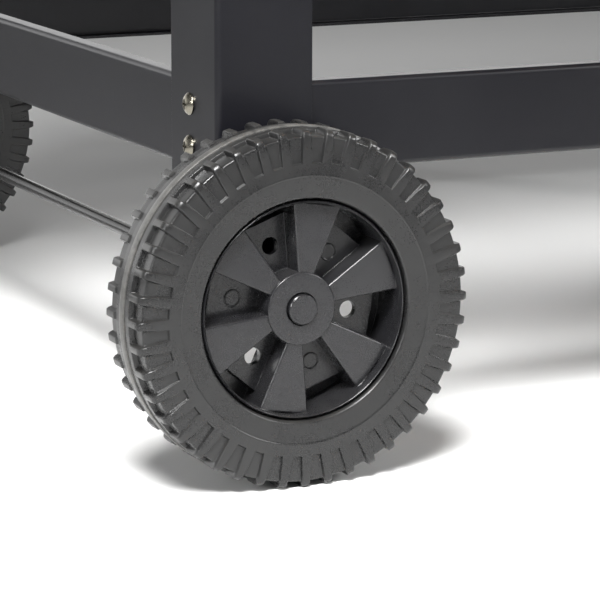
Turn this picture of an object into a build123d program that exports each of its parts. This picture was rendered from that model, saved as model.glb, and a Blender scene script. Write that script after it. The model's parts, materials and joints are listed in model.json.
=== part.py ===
"""Offset smoker: a barrel cook chamber on a wheeled sheet-metal cart, with a side firebox.

Everything is drawn in the cart frame, in millimetres: x = 0 is the outer face of the legs at
the wheel end and grows towards the chimney, y = 0 is the cart's middle plane and -y the
front, z = 0 is the ground. Each finished piece is then moved once so that the row's origin is
on the ground under the middle of the smoker's bounding box.
"""
import os
from math import cos, degrees, radians, sin

from build123d import *

os.makedirs("parts", exist_ok=True)

# Row origin, in the cart frame
ROW_ORIGIN = (226, -96.75, 0)

# Sheet metal
SHEET = 2.0                 # legs, rails, barrels
BEND = 3.5                  # outer bend radius
GAP = 0.3                   # between pieces that move past each other
PIN_PLAY = 0.05             # radial play of hinge pins in their bores

# Cart
CART_LENGTH = 720
CART_DEPTH = 621            # over the legs' front and back faces
LEG_FRONT = 57              # flange that faces front or back
LEG_SIDE = 63               # flange that faces the cart's end
LEG_TOP = 640
WHEEL_LEG_BOTTOM = 70       # the wheel-end legs stop just below the axle
FOOT_LEG_BOTTOM = 4
RAIL_BOTTOM = 163
RAIL_HEIGHT = 50
RAIL_LIP = 10
CORNER_CLEAR = 2.5          # cross members stop this far short of a leg's inner bend
SCREW_INSET = 37            # frame screws, from the leg's front face
RAIL_SCREW_Z = (175.8, 199.4)
SADDLE_SCREW_Z = (560, 610)
SCREW_R = 3.0               # M6
HEAD_R = 6.3
HEAD_HEIGHT = 3.4
NUT_FLATS = 10.0
NUT_HEIGHT = 5.0

# Wheels: depth is counted inwards from the tyre's outer sidewall
WHEEL_R = 98
WHEEL_WIDTH = 48
WHEEL_X = 28
TRACK = 733                 # over the tyres' outer sidewalls
AXLE_R = 4.0
AXLE_PLAY = 0.08
RIM_R = 60.0
SPOKE_R = 57.5
SPOKE_COUNT = 6
SPOKE_HALF_ANGLE = 14.35
FIRST_SPOKE = 20
SPOKE_DEPTH = (8.5, 40)
HUB_R = 20
HUB_DEPTH = (7, 46)
WEB_R = 46                  # inner, shallower part of the web
WEB_DEPTH = (22, 26)
OUTER_WEB_DEPTH = (31, 33.5)
WEB_HOLE_R = 4.75
WEB_HOLE_PITCH_R = 35
AXLE_END = 6.2              # depth where the axle stops, inside its cap
CAP_R = 8.3
CAP_DEPTH = (4.6, 10.6)
CAP_EDGE = 0.6              # chamfer round the cap's face
CAP_PLAY = 0.6              # radial play of the cap in the hub's counterbore
COUNTERBORE_END = 11

# Cook chamber and firebox: both barrels lie along x and open along a slanting chord
SPLIT_ANGLE = 130           # from the front, over the top, to the hinge
SPLIT_GAP = 1.0
CHAMBER_R = 210
CHAMBER_X = (-20, 740)
CHAMBER_Z = 760
FIREBOX_R = 165
FIREBOX_X = (-370, -20)
FIREBOX_LID_X = (-370, -21.5)
FIREBOX_Z = 650
THROAT = (180, 90)          # smoke passage between the barrels, width and height
THROAT_Z = 702
SADDLE_SHEET = 2.5
SADDLE_BOTTOM = 520
SADDLE_FLANGE = 25

# Hinges of the two lids
PIN_R = 3.0
KNUCKLE_R = 6.5
HINGE_LIFT = 8              # pin axis above the barrel's skin
HINGE_WIDTH = 60
LEAF = 3.0
CHAMBER_HINGES_X = (140, 580)
FIREBOX_HINGES_X = (-285, -105)

# Firebox door, damper and ash drawer, all on the firebox's outer end
DOOR_OPENING = (160, 110)
DOOR_LAP = 12
DOOR_Z = 625
DOOR_X = FIREBOX_X[0] - 3   # outer face of the door
DOOR_PIN_R = 2.5
DOOR_KNUCKLE_R = 4.5
DOOR_HINGE_Y = 98
DOOR_HINGE_X = FIREBOX_X[0] - 6
DOOR_HINGES_Z = (587, 663)
DAMPER_R = 38
VENT_R = 9
VENT_PITCH_R = 24
LATCH_Y = -112
LATCH_SPAN = 22             # between the centres of the latch's round ends
DRAWER_WIDTH = 124
DRAWER_Z = (504, 548)
DRAWER_LENGTH = 300
DRAWER_WALL = 1.5

# Chimney
CHIMNEY_R = 40
CHIMNEY_Y = 40
CHIMNEY_PORT_Z = 790
ELBOW_BEND = 60
ELBOW_STUB = 15
CHIMNEY_X = CHAMBER_X[1] + ELBOW_STUB + ELBOW_BEND
CHIMNEY_BOTTOM = 880
CHIMNEY_TOP = 1260
CAP_PIVOT = 50              # from the chimney's axis to the cap's pin, along +y
CAP_SHEET = 2.0

# Inside fittings
GRATE_Z = 740
CHARCOAL_Z = 590
BAR_R = 2.0
CROSS_BAR_R = 3.0

# Front shelf
SHELF_HINGE_Y = -CART_DEPTH / 2 - 14.5
SHELF_HINGE_Z = 600
ARM_HALF = 12
ARM_THICK = 6
SHELF_REACH = 235
SLAT = (740, 50, 16)
SLAT_COUNT = 4
SLAT_PITCH = 55

# Grease bucket and lid handle
DRAIN_X = 600
BUCKET_Y = -25
BUCKET_R = 55
BUCKET_Z = (376, 466)
BAIL_Z = 512.3
HANDLE_ANGLE = 22
HANDLE_REACH = 48
GRIP_R = 13
DIAL_ANGLE = 58
DIAL_X = 360


def save(part, name):
    """Move a finished piece to the row's origin and write its STEP file."""
    placed = part.moved(Location((-ROW_ORIGIN[0], -ROW_ORIGIN[1], -ROW_ORIGIN[2])))
    placed.label = name
    export_step(placed, f"parts/{name}.step")


def on_barrel(radius, angle, axis_z):
    """Point (y, z) on a barrel, at an angle counted from the front over the top."""
    return (-radius * cos(radians(angle)), axis_z + radius * sin(radians(angle)))


def radial_plane(x, radius, angle, axis_z):
    """Plane tangent to a barrel, with its normal pointing outwards and its x along the barrel."""
    y, z = on_barrel(radius, angle, axis_z)
    outward = (0, -cos(radians(angle)), sin(radians(angle)))
    return Plane(origin=(x, y, z), x_dir=(1, 0, 0), z_dir=outward)


# ---------------------------------------------------------------- wheels and axle
def tyre(outer_y, inward):
    """Moulded tyre: flat sidewalls with chamfered shoulders, round the rim."""
    with BuildPart() as body:
        with BuildSketch(Plane.XY) as profile:
            with BuildLine():
                Polyline(
                    (RIM_R + 0.2, 2), (64, 0), (WHEEL_R - 5, 0), (WHEEL_R - 2.5, 1.5), (WHEEL_R, 5),
                    (WHEEL_R, WHEEL_WIDTH - 5), (WHEEL_R - 2.5, WHEEL_WIDTH - 1.5),
                    (WHEEL_R - 5, WHEEL_WIDTH), (64, WHEEL_WIDTH), (RIM_R + 0.2, WHEEL_WIDTH - 2),
                    close=True,
                )
            make_face()
        revolve(axis=Axis.Y)
    return to_wheel(body.part, outer_y, inward)


def to_wheel(part, outer_y, inward):
    """Place a piece drawn round the y axis, from depth 0 inwards, at one wheel."""
    turned = part if inward > 0 else mirror(part, about=Plane.XZ)
    return turned.moved(Location((WHEEL_X, outer_y, WHEEL_R)))


def ring(inner, outer, depths):
    """Ring round the y axis, between two radii and two depths."""
    with BuildPart() as body:
        with BuildSketch(Plane.XY):
            with Locations(((inner + outer) / 2, (depths[0] + depths[1]) / 2)):
                Rectangle(outer - inner, depths[1] - depths[0])
        revolve(axis=Axis.Y)
    return body.part


def wheel_hub(outer_y, inward):
    """Rim, six wedge spokes, stepped web and boss, moulded in one piece."""
    with BuildPart() as body:
        add(ring(SPOKE_R, RIM_R, (2.5, WHEEL_WIDTH - 2.5)))
        add(ring(AXLE_R + AXLE_PLAY, HUB_R, HUB_DEPTH))
        add(ring(HUB_R - 1, WEB_R, WEB_DEPTH))
        add(ring(WEB_R - 1.5, WEB_R, (WEB_DEPTH[0], OUTER_WEB_DEPTH[1])))
        add(ring(WEB_R - 1, SPOKE_R + 1, OUTER_WEB_DEPTH))
        with BuildSketch(Plane.XZ.offset(-SPOKE_DEPTH[0])):
            for k in range(SPOKE_COUNT):
                middle = FIRST_SPOKE + k * 360 / SPOKE_COUNT
                edges = [radians(middle - SPOKE_HALF_ANGLE), radians(middle + SPOKE_HALF_ANGLE)]
                corners = [(r * cos(a), r * sin(a)) for r in (HUB_R - 1, SPOKE_R + 2) for a in edges]
                with BuildLine():
                    Polyline(corners[0], corners[2], corners[3], corners[1], close=True)
                make_face()
        extrude(amount=-(SPOKE_DEPTH[1] - SPOKE_DEPTH[0]))
        with BuildSketch(Plane.XZ.offset(-WEB_DEPTH[0] + 1)):
            with PolarLocations(WEB_HOLE_PITCH_R, 3, start_angle=110):
                Circle(WEB_HOLE_R)
        extrude(amount=-8, mode=Mode.SUBTRACT)
        with BuildSketch(Plane.XZ.offset(-WEB_DEPTH[0] + 1)):
            with PolarLocations(WEB_HOLE_PITCH_R, 3, start_angle=50):
                Circle(WEB_HOLE_R)
                Circle(WEB_HOLE_R - 0.6, mode=Mode.SUBTRACT)
        extrude(amount=-1.6, mode=Mode.SUBTRACT)
        add(ring(0, CAP_R + CAP_PLAY, (HUB_DEPTH[0] - 1, COUNTERBORE_END)), mode=Mode.SUBTRACT)
    return to_wheel(body.part, outer_y, inward)


def axle_cap(outer_y, inward):
    """Flat push-on cap over the axle's end, standing in the hub's counterbore."""
    face, foot = CAP_DEPTH
    with BuildPart() as body:
        with BuildSketch(Plane.XY):
            with BuildLine():
                Polyline(
                    (0, AXLE_END), (AXLE_R + 0.02, AXLE_END), (AXLE_R + 0.02, foot), (CAP_R, foot),
                    (CAP_R, face + CAP_EDGE), (CAP_R - CAP_EDGE, face), (0, face), close=True,
                )
            make_face()
        revolve(axis=Axis.Y)
    return to_wheel(body.part, outer_y, inward)


for side, outer_y, inward in (("near", -TRACK / 2, 1), ("far", TRACK / 2, -1)):
    save(tyre(outer_y, inward), f"{side}_tyre")
    save(wheel_hub(outer_y, inward), f"{side}_wheel_hub")

NEAR_CAP = axle_cap(-TRACK / 2, 1)
FAR_CAP = axle_cap(TRACK / 2, -1)
with BuildPart() as axle_caps:
    add(NEAR_CAP)
    add(FAR_CAP)
save(axle_caps.part, "axle_caps")

with BuildPart() as axle:
    with Locations((WHEEL_X, 0, WHEEL_R)):
        Cylinder(AXLE_R, TRACK - 2 * AXLE_END, rotation=(90, 0, 0))
save(axle.part, "axle")

SPACER_SPAN = TRACK / 2 - HUB_DEPTH[1] - 0.4 - CART_DEPTH / 2
with BuildPart() as axle_spacers:
    for facing in (-1, 1):
        with Locations((WHEEL_X, facing * (CART_DEPTH / 2 + SPACER_SPAN / 2), WHEEL_R)):
            Cylinder(AXLE_R + 4, SPACER_SPAN, rotation=(90, 0, 0))
            Cylinder(AXLE_R + 0.2, SPACER_SPAN, rotation=(90, 0, 0), mode=Mode.SUBTRACT)
save(axle_spacers.part, "axle_spacers")

with BuildPart() as axle_nuts:
    for facing in (-1, 1):
        with BuildSketch(Plane.XZ.offset(-facing * (CART_DEPTH / 2 - SHEET - 0.1))):
            with Locations((WHEEL_X, WHEEL_R)):
                RegularPolygon(6.5, 6, major_radius=False)
                Circle(AXLE_R + 0.05, mode=Mode.SUBTRACT)
        extrude(amount=facing * 6)
save(axle_nuts.part, "axle_nuts")


# ---------------------------------------------------------------- cart
def leg(end, facing, bottom):
    """Folded L leg. end is 0 or 1 along the cart, facing is -1 for the front."""
    along = 1 if end == 0 else -1
    corner = (end * CART_LENGTH, facing * CART_DEPTH / 2)
    outline = [
        (0, 0), (LEG_FRONT, 0), (LEG_FRONT, SHEET), (SHEET, SHEET), (SHEET, LEG_SIDE), (0, LEG_SIDE),
    ]
    with BuildPart() as body:
        with BuildSketch(Plane.XY.offset(bottom)) as section:
            with BuildLine():
                Polyline([(corner[0] + along * u, corner[1] - facing * v) for u, v in outline], close=True)
            make_face()
            outer = section.vertices().sort_by_distance(corner)[0]
            fillet(outer, BEND)
            inner_corner = (corner[0] + along * SHEET, corner[1] - facing * SHEET)
            inner = section.vertices().sort_by_distance(inner_corner)[0]
            fillet(inner, BEND - SHEET)
        extrude(amount=LEG_TOP - bottom)
        screw_y = corner[1] - facing * SCREW_INSET
        for z in RAIL_SCREW_Z + SADDLE_SCREW_Z:
            with Locations((corner[0], screw_y, z)):
                Cylinder(SCREW_R + 0.2, 4 * SHEET, rotation=(0, 90, 0), mode=Mode.SUBTRACT)
        if end == 0:
            with Locations((WHEEL_X, corner[1], WHEEL_R)):
                Cylinder(AXLE_R + 0.3, 4 * SHEET, rotation=(90, 0, 0), mode=Mode.SUBTRACT)
    return body.part


for end, name, bottom in (
    (0, "legs_wheel_end", WHEEL_LEG_BOTTOM), (1, "legs_chimney_end", FOOT_LEG_BOTTOM),
):
    with BuildPart() as legs:
        add(leg(end, -1, bottom))
        add(leg(end, 1, bottom))
    save(legs.part, name)


def foot(facing):
    """Moulded cap that the end of an L leg stands in."""
    corner = (CART_LENGTH, facing * CART_DEPTH / 2)
    wall = 3
    with BuildPart() as body:
        for grow, z, height, mode in (
            (wall, 0, 16, Mode.ADD), (0.1, FOOT_LEG_BOTTOM, 16, Mode.SUBTRACT),
        ):
            inside = SHEET + grow
            outline = [
                (-grow, -grow), (LEG_FRONT + grow, -grow), (LEG_FRONT + grow, inside),
                (inside + BEND, inside), (inside, inside + BEND), (inside, LEG_SIDE + grow),
                (-grow, LEG_SIDE + grow),
            ]
            with BuildSketch(Plane.XY.offset(z)):
                with BuildLine():
                    Polyline([(corner[0] - u, corner[1] - facing * v) for u, v in outline], close=True)
                make_face()
            extrude(amount=height, mode=mode)
    return body.part


with BuildPart() as feet:
    add(foot(-1))
    add(foot(1))
save(feet.part, "feet")


def rail_outline(start, inward):
    """C section drawn in (across, z): web at start, lips turned inward, bends rounded."""
    top = RAIL_BOTTOM + RAIL_HEIGHT
    web = start + inward * SHEET
    lip = start + inward * RAIL_LIP
    with BuildSketch(mode=Mode.PRIVATE) as section:
        with BuildLine():
            Polyline(
                (start, RAIL_BOTTOM), (lip, RAIL_BOTTOM), (lip, RAIL_BOTTOM + SHEET),
                (web, RAIL_BOTTOM + SHEET), (web, top - SHEET), (lip, top - SHEET), (lip, top),
                (start, top), close=True,
            )
        make_face()
        for corner in ((start, RAIL_BOTTOM), (start, top)):
            fillet(section.vertices().sort_by_distance(corner)[0], 3)
        for corner in ((web, RAIL_BOTTOM + SHEET), (web, top - SHEET)):
            fillet(section.vertices().sort_by_distance(corner)[0], 1)
    return section.sketch


def long_rail(facing):
    """Rail along the cart, with a folded tab at each end behind the end rails."""
    inward = -facing
    face = facing * (CART_DEPTH / 2 - SHEET)
    tab = LEG_SIDE - 8
    with BuildPart() as body:
        with BuildSketch(Plane.YZ.offset(2 * SHEET)):
            add(rail_outline(face, inward))
        extrude(amount=CART_LENGTH - 4 * SHEET)
        for x in (2.5 * SHEET, CART_LENGTH - 2.5 * SHEET):
            with Locations((x, face + inward * (SHEET + tab) / 2, RAIL_BOTTOM + RAIL_HEIGHT / 2)):
                Box(SHEET, SHEET + tab, RAIL_HEIGHT - 2 * SHEET - 2)
        for x in (0, CART_LENGTH):
            for z in RAIL_SCREW_Z:
                with Locations((x, facing * (CART_DEPTH / 2 - SCREW_INSET), z)):
                    Cylinder(SCREW_R + 0.2, 8 * SHEET, rotation=(0, 90, 0), mode=Mode.SUBTRACT)
    return body.part


with BuildPart() as long_rails:
    add(long_rail(-1))
    add(long_rail(1))
save(long_rails.part, "long_rails")

HALF_SPAN = CART_DEPTH / 2 - SHEET - CORNER_CLEAR


def end_rail(end):
    """Rail across the cart's end, against the inside of two leg side flanges."""
    along = 1 if end == 0 else -1
    face = end * CART_LENGTH + along * SHEET
    lip_reach = HALF_SPAN - RAIL_LIP + SHEET
    with BuildPart() as body:
        with BuildSketch(Plane.XZ.offset(-lip_reach)):
            add(rail_outline(face, along))
        extrude(amount=2 * lip_reach)
        with Locations((face + along * SHEET / 2, 0, RAIL_BOTTOM + RAIL_HEIGHT / 2)):
            Box(SHEET, 2 * HALF_SPAN, RAIL_HEIGHT - 6)
        for y in (-1, 1):
            for z in RAIL_SCREW_Z:
                with Locations((face, y * (CART_DEPTH / 2 - SCREW_INSET), z)):
                    Cylinder(SCREW_R + 0.2, 4 * SHEET, rotation=(0, 90, 0), mode=Mode.SUBTRACT)
    return body.part


with BuildPart() as end_rails:
    add(end_rail(0))
    add(end_rail(1))
save(end_rails.part, "end_rails")


def saddle(end):
    """Cross plate that carries the cook chamber in a round notch."""
    along = 1 if end == 0 else -1
    face = end * CART_LENGTH + along * SHEET
    plane = Plane.YZ.offset(face)
    with BuildPart() as body:
        with BuildSketch(plane):
            with Locations((0, (SADDLE_BOTTOM + LEG_TOP) / 2)):
                Rectangle(2 * HALF_SPAN, LEG_TOP - SADDLE_BOTTOM)
            with Locations((0, CHAMBER_Z)):
                Circle(CHAMBER_R + 0.2, mode=Mode.SUBTRACT)
            for y in (-1, 1):
                for z in SADDLE_SCREW_Z:
                    with Locations((y * (CART_DEPTH / 2 - SCREW_INSET), z)):
                        Circle(SCREW_R + 0.2, mode=Mode.SUBTRACT)
        extrude(amount=along * SADDLE_SHEET)
        flange_x = face + along * SADDLE_FLANGE / 2
        with Locations((flange_x, 0, SADDLE_BOTTOM + SADDLE_SHEET / 2)):
            Box(SADDLE_FLANGE, 2 * (HALF_SPAN - 60), SADDLE_SHEET)
    return body.part


with BuildPart() as saddles:
    add(saddle(0))
    add(saddle(1))
save(saddles.part, "saddles")


def pan_screw(length):
    """Pan-head cross-recess screw along +z, its head under the origin plane."""
    with BuildPart() as body:
        with BuildSketch(Plane.XZ):
            with BuildLine():
                Polyline((0, length), (SCREW_R, length), (SCREW_R, 0), (HEAD_R, 0), (HEAD_R, -0.8))
                ThreePointArc((HEAD_R, -0.8), (HEAD_R * 0.72, -2.6), (0, -HEAD_HEIGHT))
                Line((0, -HEAD_HEIGHT), (0, length))
            make_face()
        revolve(axis=Axis.Z)
        with Locations((0, 0, -HEAD_HEIGHT)):
            Box(5.6, 1.2, 3.0, mode=Mode.SUBTRACT)
            Box(1.2, 5.6, 3.0, mode=Mode.SUBTRACT)
    return body.part


def nut():
    """Hexagon nut along +z from the origin plane."""
    with BuildPart() as body:
        with BuildSketch(Plane.XY):
            RegularPolygon(NUT_FLATS / 2, 6, major_radius=False)
            Circle(SCREW_R + 0.05, mode=Mode.SUBTRACT)
        extrude(amount=NUT_HEIGHT)
    return body.part


def screw_places(levels):
    """Plane at each leg's outer side face for the screws at the given heights."""
    places = []
    for end in (0, 1):
        for facing in (-1, 1):
            for z in levels:
                y = facing * (CART_DEPTH / 2 - SCREW_INSET)
                direction = (1, 0, 0) if end == 0 else (-1, 0, 0)
                places.append(Plane(origin=(end * CART_LENGTH, y, z), x_dir=(0, 1, 0), z_dir=direction))
    return places


SCREW = pan_screw(13)
NUT = nut()
with BuildPart() as frame_screws:
    for place in screw_places(RAIL_SCREW_Z + SADDLE_SCREW_Z):
        add(place.location * SCREW)
save(frame_screws.part, "frame_screws")

with BuildPart() as frame_nuts:
    for levels, thickness in ((RAIL_SCREW_Z, 3 * SHEET), (SADDLE_SCREW_Z, SHEET + SADDLE_SHEET)):
        for place in screw_places(levels):
            add(place.offset(thickness).location * NUT)
save(frame_nuts.part, "frame_nuts")


# ---------------------------------------------------------------- barrels
def barrel_half(radius, x_span, axis_z, is_lid):
    """Half of a rolled barrel with its end plates, split along the slanting chord."""
    front = on_barrel(radius, 0, axis_z)
    back = on_barrel(radius, SPLIT_ANGLE, axis_z)
    chord = Vector(back[0] - front[0], back[1] - front[1]).normalized()
    lidwards = Vector(-chord.Y, chord.X)
    kept = lidwards if is_lid else -lidwards
    reach = 3 * radius
    start = Vector(*front) + kept * (SPLIT_GAP / 2) - chord * reach
    end = Vector(*front) + kept * (SPLIT_GAP / 2) + chord * reach
    length = x_span[1] - x_span[0]
    with BuildPart() as body:
        for grow, inset, mode in ((0, 0, Mode.ADD), (SHEET, SHEET, Mode.SUBTRACT)):
            with BuildSketch(Plane.YZ.offset(x_span[0] + inset)):
                with Locations((0, axis_z)):
                    Circle(radius - grow)
            extrude(amount=length - 2 * inset, mode=mode)
        with BuildSketch(Plane.YZ.offset(x_span[0] - 1)):
            with BuildLine():
                Polyline(start, end, end - kept * reach, start - kept * reach, close=True)
            make_face()
        extrude(amount=length + 2, mode=Mode.SUBTRACT)
    return body.part


def throat_cut(x):
    """Cutter for the smoke passage between the two barrels."""
    with BuildPart() as cutter:
        with BuildSketch(Plane.YZ.offset(x - 6)):
            with Locations((0, THROAT_Z)):
                RectangleRounded(THROAT[0], THROAT[1], 20)
        extrude(amount=12)
    return cutter.part


THROAT_CUT = throat_cut(CHAMBER_X[0])

with BuildPart() as chamber_tub:
    add(barrel_half(CHAMBER_R, CHAMBER_X, CHAMBER_Z, False))
    add(THROAT_CUT, mode=Mode.SUBTRACT)
    with Locations((CHAMBER_X[1], CHIMNEY_Y, CHIMNEY_PORT_Z)):
        Cylinder(CHIMNEY_R - SHEET, 12, rotation=(0, 90, 0), mode=Mode.SUBTRACT)
    with Locations((DRAIN_X, 0, CHAMBER_Z - CHAMBER_R)):
        Cylinder(8, 12, mode=Mode.SUBTRACT)
save(chamber_tub.part, "chamber_tub")

with BuildPart() as chamber_lid:
    add(barrel_half(CHAMBER_R, CHAMBER_X, CHAMBER_Z, True))
    with Locations(radial_plane(DIAL_X, CHAMBER_R, DIAL_ANGLE, CHAMBER_Z)):
        Cylinder(6.3, 12, mode=Mode.SUBTRACT)
save(chamber_lid.part, "chamber_lid")

with BuildPart() as firebox_tub:
    add(barrel_half(FIREBOX_R, FIREBOX_X, FIREBOX_Z, False))
    add(THROAT_CUT, mode=Mode.SUBTRACT)
    with Locations((FIREBOX_X[0], 0, DOOR_Z)):
        Box(12, *DOOR_OPENING, mode=Mode.SUBTRACT)
    drawer_middle = (DRAWER_Z[0] + DRAWER_Z[1]) / 2
    with Locations((FIREBOX_X[0], 0, drawer_middle)):
        Box(12, DRAWER_WIDTH + 2, DRAWER_Z[1] - DRAWER_Z[0] + 2, mode=Mode.SUBTRACT)
save(firebox_tub.part, "firebox_tub")

with BuildPart() as firebox_lid:
    add(barrel_half(FIREBOX_R, FIREBOX_LID_X, FIREBOX_Z, True))
    add(THROAT_CUT, mode=Mode.SUBTRACT)
save(firebox_lid.part, "firebox_lid")


# ---------------------------------------------------------------- lid hinges
def curved_strip(radius, axis_z, x_span, angles):
    """Strip of hinge leaf bent round a barrel, between two angles."""
    with BuildPart() as strip:
        with BuildSketch(Plane.YZ.offset(x_span[0])):
            with BuildLine():
                for r in (radius + 0.1, radius + LEAF):
                    ends = [on_barrel(r, a, axis_z) for a in angles]
                    middle = on_barrel(r, (angles[0] + angles[1]) / 2, axis_z)
                    ThreePointArc(ends[0], middle, ends[1])
                for a in angles:
                    Line(on_barrel(radius + 0.1, a, axis_z), on_barrel(radius + LEAF, a, axis_z))
            make_face()
        extrude(amount=x_span[1] - x_span[0])
    return strip.part


def hinge_leaf(radius, axis_z, x, on_lid):
    """One leaf: two outer knuckles on the tub's leaf, one middle knuckle on the lid's."""
    half = HINGE_WIDTH / 2
    split = half / 2
    pin = on_barrel(radius + HINGE_LIFT, SPLIT_ANGLE, axis_z)
    per_mm = degrees(1 / radius)
    near, far = 7 * per_mm, 32 * per_mm
    sign = -1 if on_lid else 1
    if on_lid:
        knuckles = [(-split + GAP, split - GAP)]
    else:
        knuckles = [(-half, -split), (split, half)]
    with BuildPart() as body:
        angles = sorted((SPLIT_ANGLE + sign * near, SPLIT_ANGLE + sign * far))
        add(curved_strip(radius, axis_z, (x - half, x + half), angles))
        for low, high in knuckles:
            angles = sorted((SPLIT_ANGLE + sign * 0.9 * per_mm, SPLIT_ANGLE + sign * (near + per_mm)))
            add(curved_strip(radius, axis_z, (x + low, x + high), angles))
            with Locations((x + (low + high) / 2, *pin)):
                Cylinder(KNUCKLE_R, high - low, rotation=(0, 90, 0))
        with Locations((x, *pin)):
            Cylinder(PIN_R + PIN_PLAY, HINGE_WIDTH + 2, rotation=(0, 90, 0), mode=Mode.SUBTRACT)
    return body.part


def hinge_pin(radius, axis_z, x):
    """Headed pin through one hinge."""
    pin = on_barrel(radius + HINGE_LIFT, SPLIT_ANGLE, axis_z)
    with BuildPart() as body:
        with Locations((x, *pin)):
            Cylinder(PIN_R, HINGE_WIDTH + 2, rotation=(0, 90, 0))
        for side in (-1, 1):
            with Locations((x + side * (HINGE_WIDTH / 2 + 1.6), *pin)):
                Cylinder(PIN_R + 1.5, 2, rotation=(0, 90, 0))
    return body.part


LID_HINGES = (
    ("chamber", CHAMBER_R, CHAMBER_Z, CHAMBER_HINGES_X),
    ("firebox", FIREBOX_R, FIREBOX_Z, FIREBOX_HINGES_X),
)
for name, radius, axis_z, places in LID_HINGES:
    with BuildPart() as lid_leaves:
        for x in places:
            add(hinge_leaf(radius, axis_z, x, True))
    save(lid_leaves.part, f"{name}_lid_hinge_leaves")

with BuildPart() as tub_leaves:
    for _, radius, axis_z, places in LID_HINGES:
        for x in places:
            add(hinge_leaf(radius, axis_z, x, False))
save(tub_leaves.part, "tub_hinge_leaves")

with BuildPart() as lid_hinge_pins:
    for _, radius, axis_z, places in LID_HINGES:
        for x in places:
            add(hinge_pin(radius, axis_z, x))
save(lid_hinge_pins.part, "lid_hinge_pins")


# ---------------------------------------------------------------- lid handles and thermometer
def handle_posts(radius, axis_z, x_places):
    """Stand-offs from a lid, with a flange against the skin."""
    with BuildPart() as body:
        for x in x_places:
            plane = radial_plane(x, radius + 0.3, HANDLE_ANGLE, axis_z)
            with BuildSketch(plane):
                Circle(12)
            extrude(amount=2.5)
            with BuildSketch(plane):
                Circle(5)
            extrude(amount=HANDLE_REACH - GRIP_R + 1)
            with BuildSketch(plane.offset(HANDLE_REACH - GRIP_R - 1)):
                Circle(8)
            extrude(amount=2 * GRIP_R + 2)
        grip_y, grip_z = on_barrel(radius + 0.3 + HANDLE_REACH, HANDLE_ANGLE, axis_z)
        with Locations(((x_places[0] + x_places[-1]) / 2, grip_y, grip_z)):
            Cylinder(4.2, x_places[-1] - x_places[0] + 20, rotation=(0, 90, 0), mode=Mode.SUBTRACT)
    return body.part


def grip(radius, axis_z, x_places):
    """Turned wooden grip on a rod, between the stand-offs."""
    y, z = on_barrel(radius + 0.3 + HANDLE_REACH, HANDLE_ANGLE, axis_z)
    middle = (x_places[0] + x_places[1]) / 2
    length = x_places[1] - x_places[0] - 18
    with BuildPart() as body:
        with BuildSketch(Plane(origin=(middle, y, z), x_dir=(1, 0, 0), z_dir=(0, -1, 0))):
            with BuildLine():
                Line((-length / 2, 0), (-length / 2, GRIP_R - 3))
                ThreePointArc((-length / 2, GRIP_R - 3), (0, GRIP_R + 1), (length / 2, GRIP_R - 3))
                Polyline((length / 2, GRIP_R - 3), (length / 2, 0), (-length / 2, 0))
            make_face()
        revolve(axis=Axis((middle, y, z), (1, 0, 0)))
        with Locations((middle, y, z)):
            Cylinder(4.2, length + 2, rotation=(0, 90, 0), mode=Mode.SUBTRACT)
    return body.part


def grip_rod(radius, axis_z, x_places):
    """Rod through the grip, with a cap at each end."""
    y, z = on_barrel(radius + 0.3 + HANDLE_REACH, HANDLE_ANGLE, axis_z)
    middle = (x_places[0] + x_places[1]) / 2
    half = (x_places[1] - x_places[0]) / 2 + 8.4
    with BuildPart() as body:
        with Locations((middle, y, z)):
            Cylinder(4, 2 * half + 2, rotation=(0, 90, 0))
        for side in (-1, 1):
            with Locations((middle + side * (half + 2), y, z)):
                Cylinder(7, 3.6, rotation=(0, 90, 0))
    return body.part


for name, radius, axis_z, x_places in (
    ("chamber", CHAMBER_R, CHAMBER_Z, (190, 530)),
    ("firebox", FIREBOX_R, FIREBOX_Z, (-265, -125)),
):
    with BuildPart() as handle_frame:
        add(handle_posts(radius, axis_z, x_places))
        add(grip_rod(radius, axis_z, x_places))
    save(handle_frame.part, f"{name}_handle_frame")
    save(grip(radius, axis_z, x_places), f"{name}_handle_grip")

DIAL_PLANE = radial_plane(DIAL_X, CHAMBER_R + 4, DIAL_ANGLE, CHAMBER_Z)

with BuildPart() as thermometer_case:
    with BuildSketch(DIAL_PLANE):
        Circle(38)
    extrude(amount=14)
    with BuildSketch(DIAL_PLANE.offset(2.4)):
        Circle(36)
    extrude(amount=12, mode=Mode.SUBTRACT)
    with BuildSketch(DIAL_PLANE.offset(12)):
        Circle(38)
        Circle(33.5, mode=Mode.SUBTRACT)
    extrude(amount=2)
    with BuildSketch(DIAL_PLANE.offset(0.5)):
        Circle(6)
    extrude(amount=-70)
    with BuildSketch(DIAL_PLANE.offset(-3.5)):
        Circle(11)
    extrude(amount=3.6)
save(thermometer_case.part, "thermometer_case")

with BuildPart() as thermometer_needle:
    with BuildSketch(DIAL_PLANE.offset(3.2)):
        with BuildLine():
            Polyline((0, -1.6), (26, 0), (0, 1.6), (-26, 0), close=True)
        make_face()
        Circle(3.2)
    extrude(amount=0.8)
save(thermometer_needle.part, "thermometer_needle")

with BuildPart() as thermometer_glass:
    with BuildSketch(DIAL_PLANE.offset(9.8)):
        Circle(35.6)
    extrude(amount=2)
save(thermometer_glass.part, "thermometer_glass")


# ---------------------------------------------------------------- chimney
def pipe_ring(plane, length, outer=CHIMNEY_R, inner=CHIMNEY_R - SHEET):
    """Straight length of chimney pipe from a plane."""
    with BuildPart() as body:
        with BuildSketch(plane):
            Circle(outer)
            Circle(inner, mode=Mode.SUBTRACT)
        extrude(amount=length)
    return body.part


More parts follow.
